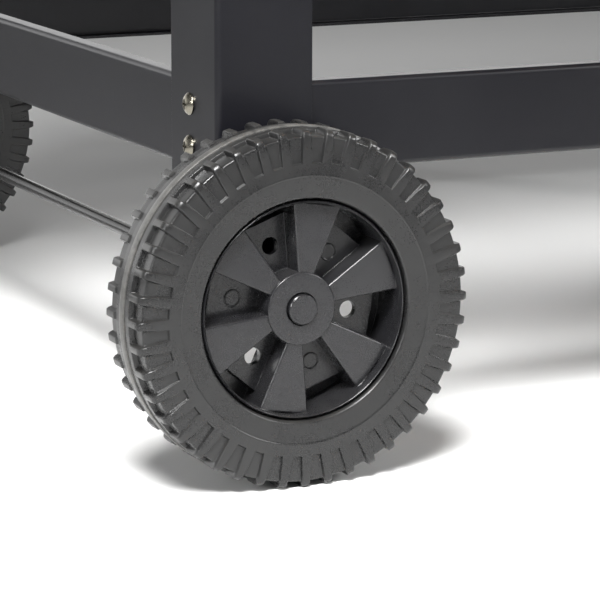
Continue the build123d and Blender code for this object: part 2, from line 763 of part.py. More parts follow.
PORT_PLANE = Plane(origin=(CHAMBER_X[1], CHIMNEY_Y, CHIMNEY_PORT_Z), x_dir=(0, 1, 0), z_dir=(1, 0, 0))
BEND_PLANE = PORT_PLANE.offset(ELBOW_STUB)
RISE_PLANE = Plane((CHIMNEY_X, CHIMNEY_Y, CHIMNEY_PORT_Z + ELBOW_BEND))
PIPE_PLANE = Plane((CHIMNEY_X, CHIMNEY_Y, CHIMNEY_BOTTOM))

with BuildPart() as chimney_elbow:
    add(pipe_ring(PORT_PLANE, 3, outer=CHIMNEY_R + 16))
    add(pipe_ring(PORT_PLANE, ELBOW_STUB))
    with BuildSketch(BEND_PLANE):
        Circle(CHIMNEY_R)
        Circle(CHIMNEY_R - SHEET, mode=Mode.SUBTRACT)
    bend_centre = (BEND_PLANE.origin.X, CHIMNEY_Y, CHIMNEY_PORT_Z + ELBOW_BEND)
    revolve(axis=Axis(bend_centre, (0, -1, 0)), revolution_arc=90)
    add(pipe_ring(RISE_PLANE, CHIMNEY_BOTTOM - CHIMNEY_PORT_Z - ELBOW_BEND))
save(chimney_elbow.part, "chimney_elbow")

with BuildPart() as chimney_pipe:
    add(pipe_ring(PIPE_PLANE, CHIMNEY_TOP - CHIMNEY_BOTTOM))
    add(pipe_ring(PIPE_PLANE, 14, outer=CHIMNEY_R + 3.5))
    add(pipe_ring(PIPE_PLANE.offset(-14), 14, outer=CHIMNEY_R + 3.5, inner=CHIMNEY_R + 0.1))
save(chimney_pipe.part, "chimney_pipe")

with BuildPart() as cap_lug:
    with BuildSketch(Plane.XY.offset(CHIMNEY_TOP - 24)):
        with Locations((CHIMNEY_X, CHIMNEY_Y + (CHIMNEY_R + CAP_PIVOT + 7) / 2 - 2)):
            Rectangle(14, CAP_PIVOT + 11 - CHIMNEY_R)
        with Locations((CHIMNEY_X, CHIMNEY_Y)):
            Circle(CHIMNEY_R + 0.1, mode=Mode.SUBTRACT)
        with Locations((CHIMNEY_X, CHIMNEY_Y + CAP_PIVOT)):
            Circle(PIN_R + PIN_PLAY, mode=Mode.SUBTRACT)
    extrude(amount=24)
save(cap_lug.part, "chimney_cap_lug")

CAP_Z = CHIMNEY_TOP + GAP
with BuildPart() as chimney_cap:
    with BuildSketch(Plane.XY.offset(CAP_Z)):
        with Locations((CHIMNEY_X, CHIMNEY_Y)):
            Circle(CHIMNEY_R + 4)
        with Locations((CHIMNEY_X, CHIMNEY_Y + CAP_PIVOT)):
            Circle(9)
        with Locations((CHIMNEY_X, CHIMNEY_Y - CHIMNEY_R - 10)):
            Rectangle(14, 24)
        with Locations((CHIMNEY_X, CHIMNEY_Y + CAP_PIVOT)):
            Circle(PIN_R + PIN_PLAY, mode=Mode.SUBTRACT)
    extrude(amount=CAP_SHEET)
save(chimney_cap.part, "chimney_cap")

with BuildPart() as cap_pin:
    with Locations((CHIMNEY_X, CHIMNEY_Y + CAP_PIVOT, CHIMNEY_TOP - 10)):
        Cylinder(PIN_R, 2 * (10 + CAP_SHEET + 2 * GAP))
    with Locations((CHIMNEY_X, CHIMNEY_Y + CAP_PIVOT, CAP_Z + CAP_SHEET + GAP + 1.2)):
        Cylinder(PIN_R + 3, 2.4)
save(cap_pin.part, "chimney_cap_pin")


# ---------------------------------------------------------------- firebox door
def door_hinge_leaf(on_door):
    """Half of each door hinge: one knuckle and a plate, above or below the middle."""
    with BuildPart() as body:
        for z in DOOR_HINGES_Z:
            low, high = (GAP / 2, 15) if on_door else (-15, -GAP / 2)
            middle = z + (low + high) / 2
            height = high - low
            with Locations((DOOR_HINGE_X, DOOR_HINGE_Y, middle)):
                Cylinder(DOOR_KNUCKLE_R, height)
            plate_y = DOOR_HINGE_Y - 20 if on_door else DOOR_HINGE_Y + 14
            plate_width = 40 if on_door else 28
            plate_x = DOOR_X - 1 if on_door else FIREBOX_X[0] - 1.5
            thickness = 2 if on_door else 3
            with Locations((plate_x, plate_y, middle)):
                Box(thickness, plate_width, height)
            with Locations((DOOR_HINGE_X, DOOR_HINGE_Y, middle)):
                Cylinder(DOOR_PIN_R + PIN_PLAY, height + 1, mode=Mode.SUBTRACT)
    return body.part


save(door_hinge_leaf(True), "door_hinge_moving_leaves")
save(door_hinge_leaf(False), "door_hinge_fixed_leaves")

with BuildPart() as door_hinge_pins:
    for z in DOOR_HINGES_Z:
        with Locations((DOOR_HINGE_X, DOOR_HINGE_Y, z)):
            Cylinder(DOOR_PIN_R, 31)
        with Locations((DOOR_HINGE_X, DOOR_HINGE_Y, z + 16.5)):
            Cylinder(DOOR_PIN_R + 1.2, 2)
save(door_hinge_pins.part, "door_hinge_pins")

with BuildPart() as firebox_door:
    with BuildSketch(Plane.YZ.offset(DOOR_X)):
        with Locations((0, DOOR_Z)):
            RectangleRounded(DOOR_OPENING[0] + 2 * DOOR_LAP, DOOR_OPENING[1] + 2 * DOOR_LAP, 6)
            Circle(PIN_R + PIN_PLAY, mode=Mode.SUBTRACT)
            with PolarLocations(VENT_PITCH_R, 4, start_angle=45):
                Circle(VENT_R, mode=Mode.SUBTRACT)
    extrude(amount=SHEET)
save(firebox_door.part, "firebox_door")

with BuildPart() as air_damper:
    with BuildSketch(Plane.YZ.offset(DOOR_X - GAP - 1.6)):
        with Locations((0, DOOR_Z)):
            Circle(DAMPER_R)
            with Locations((-DAMPER_R, 0)):
                Rectangle(18, 12)
            Circle(PIN_R + PIN_PLAY, mode=Mode.SUBTRACT)
            with PolarLocations(VENT_PITCH_R, 4, start_angle=45):
                Circle(VENT_R, mode=Mode.SUBTRACT)
    extrude(amount=1.6)
    with Locations((DOOR_X - GAP - 5.6, -DAMPER_R - 8, DOOR_Z)):
        Box(9, 2, 12)
save(air_damper.part, "air_damper")

with BuildPart() as damper_pin:
    with Locations((DOOR_X, 0, DOOR_Z)):
        Cylinder(PIN_R, 7.2, rotation=(0, 90, 0))
    with Locations((DOOR_X - 2 * GAP - 1.6 - 1, 0, DOOR_Z)):
        Cylinder(PIN_R + 3.5, 2, rotation=(0, 90, 0))
    with Locations((DOOR_X + SHEET + 1, 0, DOOR_Z)):
        Cylinder(PIN_R + 2, 2, rotation=(0, 90, 0))
save(damper_pin.part, "air_damper_pin")

KNOB_Y = -74
KNOB_R = 12
KNOB_STEM_R = 4.5
with BuildPart() as door_knob:
    ball_x = DOOR_X - 22
    stem_end = ball_x + (KNOB_R ** 2 - KNOB_STEM_R ** 2) ** 0.5
    with BuildSketch(Plane.XY.offset(DOOR_Z)):
        with BuildLine():
            Polyline(
                (ball_x - KNOB_R, KNOB_Y), (DOOR_X, KNOB_Y), (DOOR_X, KNOB_Y + 9), (DOOR_X - 3, KNOB_Y + 9),
                (DOOR_X - 3, KNOB_Y + KNOB_STEM_R), (stem_end, KNOB_Y + KNOB_STEM_R),
            )
            ThreePointArc(
                (stem_end, KNOB_Y + KNOB_STEM_R), (ball_x, KNOB_Y + KNOB_R), (ball_x - KNOB_R, KNOB_Y),
            )
        make_face()
    revolve(axis=Axis((ball_x, KNOB_Y, DOOR_Z), (1, 0, 0)))
save(door_knob.part, "door_knob")

LATCH_X = DOOR_X - 0.6
with BuildPart() as latch_bar:
    with BuildSketch(Plane.YZ.offset(LATCH_X - 3)):
        with Locations((LATCH_Y, DOOR_Z + 20 - LATCH_SPAN / 2)):
            SlotCenterToCenter(LATCH_SPAN, 16, rotation=90)
        with Locations((LATCH_Y, DOOR_Z + 20)):
            Circle(PIN_R + PIN_PLAY, mode=Mode.SUBTRACT)
    extrude(amount=3)
save(latch_bar.part, "door_latch")

with BuildPart() as latch_pin:
    with Locations((FIREBOX_X[0] - 4.2, LATCH_Y, DOOR_Z + 20)):
        Cylinder(PIN_R, 8.4, rotation=(0, 90, 0))
    with Locations(((FIREBOX_X[0] + LATCH_X + GAP) / 2, LATCH_Y, DOOR_Z + 20)):
        Cylinder(PIN_R + 3, FIREBOX_X[0] - LATCH_X - GAP, rotation=(0, 90, 0))
    with Locations((LATCH_X - 3 - GAP - 1, LATCH_Y, DOOR_Z + 20)):
        Cylinder(PIN_R + 3, 2, rotation=(0, 90, 0))
save(latch_pin.part, "door_latch_pin")


# ---------------------------------------------------------------- ash drawer
with BuildPart() as ash_drawer:
    back = FIREBOX_X[0] + DRAWER_LENGTH
    front_x = DOOR_X + SHEET - 0.6
    with Locations(((front_x + back) / 2, 0, (DRAWER_Z[0] + DRAWER_Z[1]) / 2)):
        Box(back - front_x, DRAWER_WIDTH, DRAWER_Z[1] - DRAWER_Z[0])
    with Locations(((front_x + back) / 2, 0, DRAWER_Z[1] / 2 + DRAWER_Z[0] / 2 + DRAWER_WALL)):
        inner = back - front_x - 2 * DRAWER_WALL
        Box(inner, DRAWER_WIDTH - 2 * DRAWER_WALL, DRAWER_Z[1] - DRAWER_Z[0], mode=Mode.SUBTRACT)
    with Locations((front_x - 0.9, 0, (DRAWER_Z[0] + DRAWER_Z[1]) / 2)):
        Box(2, DRAWER_WIDTH + 8, DRAWER_Z[1] - DRAWER_Z[0] + 6)
save(ash_drawer.part, "ash_drawer")

with BuildPart() as drawer_pull:
    pull_z = (DRAWER_Z[0] + DRAWER_Z[1]) / 2
    front_face = DOOR_X + SHEET - 0.6 - 1.9
    with BuildLine() as bow:
        Line((front_face, -30, pull_z), (front_face - 14, -30, pull_z))
        RadiusArc((front_face - 14, -30, pull_z), (front_face - 22, -22, pull_z), 8)
        Line((front_face - 22, -22, pull_z), (front_face - 22, 22, pull_z))
        RadiusArc((front_face - 22, 22, pull_z), (front_face - 14, 30, pull_z), 8)
        Line((front_face - 14, 30, pull_z), (front_face, 30, pull_z))
    with BuildSketch(Plane(origin=(front_face, -30, pull_z), z_dir=(-1, 0, 0))):
        Circle(3)
    sweep(path=bow.line)
save(drawer_pull.part, "ash_drawer_pull")

# ---------------------------------------------------------------- grates
def rod_grate(x_span, half_width, z, count):
    """Welded rod grate: bars across, two rods along underneath."""
    middle = ((x_span[0] + x_span[1]) / 2, 0, z)
    length = x_span[1] - x_span[0]
    with BuildPart() as body:
        with Locations(middle):
            with GridLocations(length / (count - 1), 1, count, 1):
                Cylinder(BAR_R, 2 * half_width, rotation=(90, 0, 0))
        for y in (-half_width + 6, 0, half_width - 6):
            with Locations((middle[0], y, z - BAR_R - CROSS_BAR_R + 1)):
                Cylinder(CROSS_BAR_R, length + 2 * CROSS_BAR_R, rotation=(0, 90, 0))
    return body.part


CHAMBER_MIDDLE = (CHAMBER_X[0] + CHAMBER_X[1]) / 2
with BuildPart() as cooking_grates:
    add(rod_grate((CHAMBER_X[0] + 14, CHAMBER_MIDDLE - 8), 196, GRATE_Z, 20))
    add(rod_grate((CHAMBER_MIDDLE + 8, CHAMBER_X[1] - 14), 196, GRATE_Z, 20))
save(cooking_grates.part, "cooking_grates")
save(rod_grate((FIREBOX_X[0] + 14, FIREBOX_X[1] - 14), 142, CHARCOAL_Z, 18), "charcoal_grate")

with BuildPart() as inner_ledges:
    for side in (-1, 1):
        with Locations((FIREBOX_X[0] + 160, side * 56, DRAWER_Z[0] - GAP - 1)):
            Box(300, 12, 2)
    for half, z, x_span in (
        (204.5, GRATE_Z, (CHAMBER_X[0] + 3, CHAMBER_X[1] - 3)),
        (146.5, CHARCOAL_Z, (FIREBOX_X[0] + 3, FIREBOX_X[1] - 3)),
    ):
        for side in (-1, 1):
            ledge_z = z - BAR_R - 2 * CROSS_BAR_R + 1 - 1
            with Locations(((x_span[0] + x_span[1]) / 2, side * (half - 9), ledge_z)):
                Box(x_span[1] - x_span[0], 18, 2)
save(inner_ledges.part, "inner_ledges")


# ---------------------------------------------------------------- front shelf
ARMS_X = (WHEEL_X, CART_LENGTH - WHEEL_X)

with BuildPart() as shelf_brackets:
    for x in ARMS_X:
        with Locations((x, -CART_DEPTH / 2 - 1, SHELF_HINGE_Z)):
            Box(44, 2, 50)
        for side in (-1, 1):
            with BuildSketch(Plane.YZ.offset(x + side * (ARM_THICK / 2 + GAP + 1.5) - 1.5)):
                with Locations((SHELF_HINGE_Y / 2 - CART_DEPTH / 4, SHELF_HINGE_Z)):
                    Rectangle(-CART_DEPTH / 2 - SHELF_HINGE_Y, 24)
                with Locations((SHELF_HINGE_Y, SHELF_HINGE_Z)):
                    Circle(12)
                    Circle(PIN_R + PIN_PLAY, mode=Mode.SUBTRACT)
            extrude(amount=3)
save(shelf_brackets.part, "shelf_brackets")

with BuildPart() as shelf_arms:
    for x in ARMS_X:
        with BuildSketch(Plane.YZ.offset(x - ARM_THICK / 2)):
            with Locations((SHELF_HINGE_Y - SHELF_REACH / 2, SHELF_HINGE_Z)):
                Rectangle(SHELF_REACH, 2 * ARM_HALF)
            with Locations((SHELF_HINGE_Y, SHELF_HINGE_Z)):
                Circle(ARM_HALF)
                Circle(PIN_R + PIN_PLAY, mode=Mode.SUBTRACT)
        extrude(amount=ARM_THICK)
save(shelf_arms.part, "shelf_arms")

with BuildPart() as shelf_pins:
    for x in ARMS_X:
        with Locations((x, SHELF_HINGE_Y, SHELF_HINGE_Z)):
            Cylinder(PIN_R, ARM_THICK + 10, rotation=(0, 90, 0))
        for side in (-1, 1):
            with Locations((x + side * (ARM_THICK / 2 + 3 + 2 * GAP + 1), SHELF_HINGE_Y, SHELF_HINGE_Z)):
                Cylinder(PIN_R + 2, 2, rotation=(0, 90, 0))
save(shelf_pins.part, "shelf_pins")

with BuildPart() as shelf_slats:
    for k in range(SLAT_COUNT):
        y = SHELF_HINGE_Y - SHELF_REACH + SLAT[1] / 2 + k * SLAT_PITCH
        with Locations((CART_LENGTH / 2, y, SHELF_HINGE_Z + ARM_HALF + SLAT[2] / 2)):
            Box(*SLAT)
    slat_edges = shelf_slats.edges().filter_by(Axis.X).group_by(Axis.Z)[-1]
    fillet(slat_edges, 3)
save(shelf_slats.part, "shelf_slats")


# ---------------------------------------------------------------- drain and grease bucket
with BuildPart() as drain_spout:
    with Locations((DRAIN_X, 0, CHAMBER_Z - CHAMBER_R - 14)):
        Cylinder(10, 27)
        Cylinder(8, 27, mode=Mode.SUBTRACT)
save(drain_spout.part, "drain_spout")

with BuildPart() as bucket_hook:
    hook_z = BAIL_Z + 1.9
    with BuildLine() as hook_run:
        Line((DRAIN_X, BUCKET_Y - 7, CHAMBER_Z - CHAMBER_R + 1.9), (DRAIN_X, BUCKET_Y - 7, hook_z))
        ThreePointArc(
            (DRAIN_X, BUCKET_Y - 7, hook_z), (DRAIN_X, BUCKET_Y, hook_z - 7),
            (DRAIN_X, BUCKET_Y + 7, hook_z),
        )
    with BuildSketch(Plane(origin=(DRAIN_X, BUCKET_Y - 7, CHAMBER_Z - CHAMBER_R + 1.9), z_dir=(0, 0, -1))):
        Circle(2.3)
    sweep(path=hook_run.line)
save(bucket_hook.part, "bucket_hook")

with BuildPart() as grease_bucket:
    rise = BUCKET_Z[1] - BUCKET_Z[0]
    with BuildSketch(Plane.XZ):
        with BuildLine():
            Polyline(
                (0, BUCKET_Z[0]), (BUCKET_R - 10, BUCKET_Z[0]), (BUCKET_R - 1.5, BUCKET_Z[1] - 3),
                (BUCKET_R, BUCKET_Z[1] - 3), (BUCKET_R, BUCKET_Z[1]), (BUCKET_R - 3, BUCKET_Z[1]),
                (BUCKET_R - 11.5, BUCKET_Z[0] + 1.5), (0, BUCKET_Z[0] + 1.5), close=True,
            )
        make_face()
    revolve(axis=Axis.Z)
    for side in (-1, 1):
        with Locations((side * (BUCKET_R - 1.2), 0, BUCKET_Z[1] - 8)):
            Cylinder(5, 3, rotation=(0, 90, 0))
save(grease_bucket.part.moved(Location((DRAIN_X, BUCKET_Y, 0))), "grease_bucket")

BAIL_R = 2.2
EAR_Z = BUCKET_Z[1] - 8
with BuildPart() as bucket_bail:
    reach = BUCKET_R + BAIL_R + 0.4
    with BuildLine() as bail_run:
        Line((DRAIN_X - reach, BUCKET_Y, EAR_Z), (DRAIN_X - reach, BUCKET_Y, EAR_Z + 12))
        ThreePointArc(
            (DRAIN_X - reach, BUCKET_Y, EAR_Z + 12), (DRAIN_X, BUCKET_Y, BAIL_Z),
            (DRAIN_X + reach, BUCKET_Y, EAR_Z + 12),
        )
        Line((DRAIN_X + reach, BUCKET_Y, EAR_Z + 12), (DRAIN_X + reach, BUCKET_Y, EAR_Z))
    with BuildSketch(Plane(origin=(DRAIN_X - reach, BUCKET_Y, EAR_Z), z_dir=(0, 0, 1))):
        Circle(BAIL_R)
    sweep(path=bail_run.line, transition=Transition.ROUND)
save(bucket_bail.part, "bucket_bail")


# ---------------------------------------------------------------- pull handle
with BuildPart() as pull_handle:
    handle_z = 590
    outer_x = CART_LENGTH - SHEET + 62
    start_x = CART_LENGTH - SHEET
    with BuildLine() as bar:
        Line((start_x, -215, handle_z), (outer_x - 25, -215, handle_z))
        RadiusArc((outer_x - 25, -215, handle_z), (outer_x, -190, handle_z), -25)
        Line((outer_x, -190, handle_z), (outer_x, 190, handle_z))
        RadiusArc((outer_x, 190, handle_z), (outer_x - 25, 215, handle_z), -25)
        Line((outer_x - 25, 215, handle_z), (start_x, 215, handle_z))
    with BuildSketch(Plane(origin=(start_x, -215, handle_z), z_dir=(1, 0, 0))):
        Circle(9)
        Circle(7.5, mode=Mode.SUBTRACT)
    sweep(path=bar.line)
save(pull_handle.part, "pull_handle")

with BuildPart() as pull_grip:
    with Locations((outer_x, 0, handle_z)):
        Cylinder(12.5, 240, rotation=(90, 0, 0))
        Cylinder(9.1, 240, rotation=(90, 0, 0), mode=Mode.SUBTRACT)
save(pull_grip.part, "pull_handle_grip")
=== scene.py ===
"""Offset smoker: moulded wheels, paint, metal and wood finishes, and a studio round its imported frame."""

import json
import logging
import math
from collections.abc import Mapping, Sequence
from dataclasses import dataclass, field
from enum import Enum
from typing import Any

import bmesh
import bpy
from bpy.types import Material, Mesh, Node, NodeSocket, NodeTree, Object
from mathutils import Matrix, Vector

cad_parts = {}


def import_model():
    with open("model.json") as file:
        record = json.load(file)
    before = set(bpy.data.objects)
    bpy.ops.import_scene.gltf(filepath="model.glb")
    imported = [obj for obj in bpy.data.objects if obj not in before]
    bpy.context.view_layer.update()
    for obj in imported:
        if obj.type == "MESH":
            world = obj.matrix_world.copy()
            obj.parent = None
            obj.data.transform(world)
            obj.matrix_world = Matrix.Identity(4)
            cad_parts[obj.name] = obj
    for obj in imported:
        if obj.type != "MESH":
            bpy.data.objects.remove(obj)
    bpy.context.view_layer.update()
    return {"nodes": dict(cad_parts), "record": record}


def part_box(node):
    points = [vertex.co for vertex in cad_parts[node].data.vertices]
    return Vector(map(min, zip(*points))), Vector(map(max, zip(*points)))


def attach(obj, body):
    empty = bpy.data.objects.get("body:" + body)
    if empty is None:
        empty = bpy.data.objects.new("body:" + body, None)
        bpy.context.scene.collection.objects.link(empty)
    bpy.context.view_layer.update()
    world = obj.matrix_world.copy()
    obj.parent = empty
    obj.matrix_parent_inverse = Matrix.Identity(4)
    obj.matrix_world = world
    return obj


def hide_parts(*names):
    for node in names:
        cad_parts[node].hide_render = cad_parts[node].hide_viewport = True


LOG = logging.getLogger("smoker")
MM = 0.001
TICK_THICKNESS = 0.15 * MM
LONG_TICK = 1.7  # length of a dial's long tick, in short ticks

Colour = tuple[float, float, float]
Station = tuple[float, float]


class WheelSide(Enum):
    """Which end of the axle a wheel sits on; the value prefixes its nodes and its body."""

    NEAR = "near"
    FAR = "far"

    @property
    def inward(self) -> int:
        """Direction along y from the outer sidewall to the cart."""
        return 1 if self is WheelSide.NEAR else -1

    def place(self) -> Matrix:
        """Where the wheel stands.

        Returns:
            The move from the origin to the middle of the outer sidewall.
        """
        low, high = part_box(f"{self.value}_tyre")
        outer = low.y if self is WheelSide.NEAR else high.y
        return Matrix.Translation(((low.x + high.x) / 2, outer, (low.z + high.z) / 2))


class Pattern(Enum):
    """How the grain of a finish lies on its surface."""

    EVEN = (1.0, 1.0, 1.0)
    ALONG_X = (0.03, 1.0, 1.0)
    ALONG_Z = (1.0, 1.0, 0.03)


# ---------------------------------------------------------------- node trees
class Bench:
    """Short calls that add, set and join the nodes of one tree."""

    def __init__(self, tree: NodeTree) -> None:
        """Keep the tree that nodes are added to."""
        self.tree = tree

    def feed(self, socket: NodeSocket, value: Any) -> None:
        """Link an output into a socket, or set the socket's own value."""
        if isinstance(value, NodeSocket):
            self.tree.links.new(value, socket)
        else:
            socket.default_value = value

    def add(self, kind: str, inputs: Mapping[str | int, Any] | None = None, **settings: Any) -> Node:
        """Add a node.

        Args:
            kind: The node's type name.
            inputs: Values or outputs for its inputs, by name or position.
            **settings: Properties set before the inputs.

        Returns:
            The new node.
        """
        node = self.tree.nodes.new(kind)
        for key, value in settings.items():
            setattr(node, key, value)
        for key, value in (inputs or {}).items():
            self.feed(node.inputs[key], value)
        return node

    def calc(self, operation: str, a: Any, b: Any = 0.0, clamp: bool = False) -> NodeSocket:
        """Result of one arithmetic operation on two values."""
        return self.add("ShaderNodeMath", {0: a, 1: b}, operation=operation, use_clamp=clamp).outputs[0]

    def times(self, a: Any, b: Any, clamp: bool = False) -> NodeSocket:
        """Product of two values."""
        return self.calc("MULTIPLY", a, b, clamp)

    def vector(self, x: Any = 0.0, y: Any = 0.0, z: Any = 0.0) -> NodeSocket:
        """Vector made of three values."""
        return self.add("ShaderNodeCombineXYZ", {0: x, 1: y, 2: z}).outputs[0]

    def stretched(self, place: Any, factors: Any) -> NodeSocket:
        """Coordinates multiplied by a factor for each axis."""
        return self.add("ShaderNodeVectorMath", {0: place, 1: factors}, operation="MULTIPLY").outputs[0]

    def stacked(self, count: Any) -> NodeSocket:
        """Points that all lie at the origin."""
        return self.add("GeometryNodeMeshLine", {"Count": count, "Offset": (0.0, 0.0, 0.0)}).outputs[0]

    def remap(self, value: Any, low: float, high: float, to_low: Any = 0.0, to_high: Any = 1.0) -> NodeSocket:
        """Value moved from one range to another, and kept inside it."""
        return self.add("ShaderNodeMapRange", {
            "Value": value, "From Min": low, "From Max": high, "To Min": to_low, "To Max": to_high,
        }).outputs["Result"]

    def blend(self, factor: Any, a: Any, b: Any) -> NodeSocket:
        """Colour between two colours."""
        return self.add("ShaderNodeMix", {0: factor, 6: a, 7: b}, data_type="RGBA").outputs[2]

    def noise(self, place: Any, scale: Any, detail: float = 3.0, rough: float = 0.55) -> NodeSocket:
        """Noise value from 0 to 1."""
        return self.add("ShaderNodeTexNoise", {
            "Vector": place, "Scale": scale, "Detail": detail, "Roughness": rough,
        }).outputs[0]


def grey(level: float) -> Colour:
    """Neutral colour of one level."""
    return (level, level, level)


def rgba(colour: Colour) -> tuple[float, float, float, float]:
    """Colour with full alpha."""
    return (*colour, 1.0)


class Effect:
    """A shader node group with named inputs and outputs, built once and shared by the finishes."""

    label = "effect"
    inputs: tuple[tuple[str, str, Any], ...] = ()
    outputs: tuple[tuple[str, str], ...] = ()

    def tree(self) -> NodeTree:
        """The group's tree, built at its first use.

        Returns:
            The shader tree.
        """
        made = bpy.data.node_groups.get(self.label)
        if made is None:
            made = bpy.data.node_groups.new(self.label, "ShaderNodeTree")
            for name, kind, start in self.inputs:
                socket = made.interface.new_socket(name=name, in_out="INPUT", socket_type=kind)
                if start is not None:
                    socket.default_value = start
            for name, kind in self.outputs:
                made.interface.new_socket(name=name, in_out="OUTPUT", socket_type=kind)
            bench = Bench(made)
            given = bench.add("NodeGroupInput").outputs
            wanted = bench.add("NodeGroupOutput").inputs
            self.wire(bench, given, wanted)
        return made

    def wire(self, bench: Bench, given: Any, wanted: Any) -> None:
        """Lay the nodes between the group's inputs and outputs."""
        raise NotImplementedError

    def place(self, bench: Bench, **values: Any) -> Any:
        """Put the group into a material.

        Args:
            bench: The material's bench.
            **values: Inputs by name, with _ for a space.

        Returns:
            The group node's outputs.
        """
        node = bench.add("ShaderNodeGroup", node_tree=self.tree())
        for key, value in values.items():
            bench.feed(node.inputs[key.replace("_", " ")], value)
        return node.outputs


class SurfaceGrain(Effect):
    """Fine texture of a moulded, sprayed or brushed surface over slow changes of tone."""

    label = "surface_grain"
    inputs = (
        ("Place", "NodeSocketVector", None), ("Stretch", "NodeSocketVector", (1.0, 1.0, 1.0)),
        ("Fine Scale", "NodeSocketFloat", 900.0), ("Broad Scale", "NodeSocketFloat", 14.0),
    )
    outputs = (("Height", "NodeSocketFloat"), ("Tone", "NodeSocketFloat"))

    def wire(self, bench: Bench, given: Any, wanted: Any) -> None:
        """Fine noise gives the height, and broad noise with a little of the fine gives the tone."""
        fine = bench.noise(bench.stretched(given["Place"], given["Stretch"]), given["Fine Scale"], 2.0)
        broad = bench.noise(given["Place"], given["Broad Scale"], 5.0, 0.6)
        bench.feed(wanted["Height"], fine)
        both = bench.calc("ADD", bench.times(broad, 0.65), bench.times(fine, 0.35))
        bench.feed(wanted["Tone"], bench.remap(both, 0.36, 0.64))


class EdgeWear(Effect):
    """Eased edges and the patchy wear that follows them."""

    label = "edge_wear"
    inputs = (
        ("Place", "NodeSocketVector", None), ("Radius", "NodeSocketFloat", 0.0008),
        ("Patch Scale", "NodeSocketFloat", 60.0), ("Amount", "NodeSocketFloat", 0.3),
    )
    outputs = (("Mask", "NodeSocketFloat"), ("Edge", "NodeSocketFloat"), ("Normal", "NodeSocketVector"))

    def wire(self, bench: Bench, given: Any, wanted: Any) -> None:
        """Compare the eased normal with the plain one, and break the difference up with noise."""
        eased = bench.add("ShaderNodeBevel", {"Radius": given["Radius"]}, samples=6)
        plain = bench.add("ShaderNodeNewGeometry")
        same = bench.add("ShaderNodeVectorMath", {0: eased.outputs[0], 1: plain.outputs["Normal"]},
                         operation="DOT_PRODUCT")
        edge = bench.remap(same.outputs["Value"], 0.985, 0.86)
        patch = bench.remap(bench.noise(given["Place"], given["Patch Scale"], 4.0), 0.42, 0.62)
        worn = bench.times(bench.times(edge, patch), given["Amount"], clamp=True)
        bench.feed(wanted["Mask"], worn)
        bench.feed(wanted["Edge"], edge)
        bench.feed(wanted["Normal"], eased.outputs[0])


class SettledDust(Effect):
    """Dust that lies on what faces up."""

    label = "settled_dust"
    inputs = (
        ("Place", "NodeSocketVector", None), ("Facing", "NodeSocketVector", None),
        ("Patch Scale", "NodeSocketFloat", 22.0), ("Amount", "NodeSocketFloat", 0.1),
    )
    outputs = (("Mask", "NodeSocketFloat"),)

    def wire(self, bench: Bench, given: Any, wanted: Any) -> None:
        """Upward share of the normal, times two noises."""
        upward = bench.add("ShaderNodeSeparateXYZ", {0: given["Facing"]}).outputs["Z"]
        lying = bench.remap(upward, 0.25, 1.0)
        patch = bench.remap(bench.noise(given["Place"], given["Patch Scale"], 6.0, 0.65), 0.38, 0.68)
        lain = bench.times(bench.times(lying, patch), given["Amount"], clamp=True)
        bench.feed(wanted["Mask"], lain)


DUST_COLOUR: Colour = (0.42, 0.40, 0.36)
PORE_COLOUR: Colour = (0.06, 0.03, 0.015)
GRAIN = SurfaceGrain()
WEAR = EdgeWear()
DUST = SettledDust()


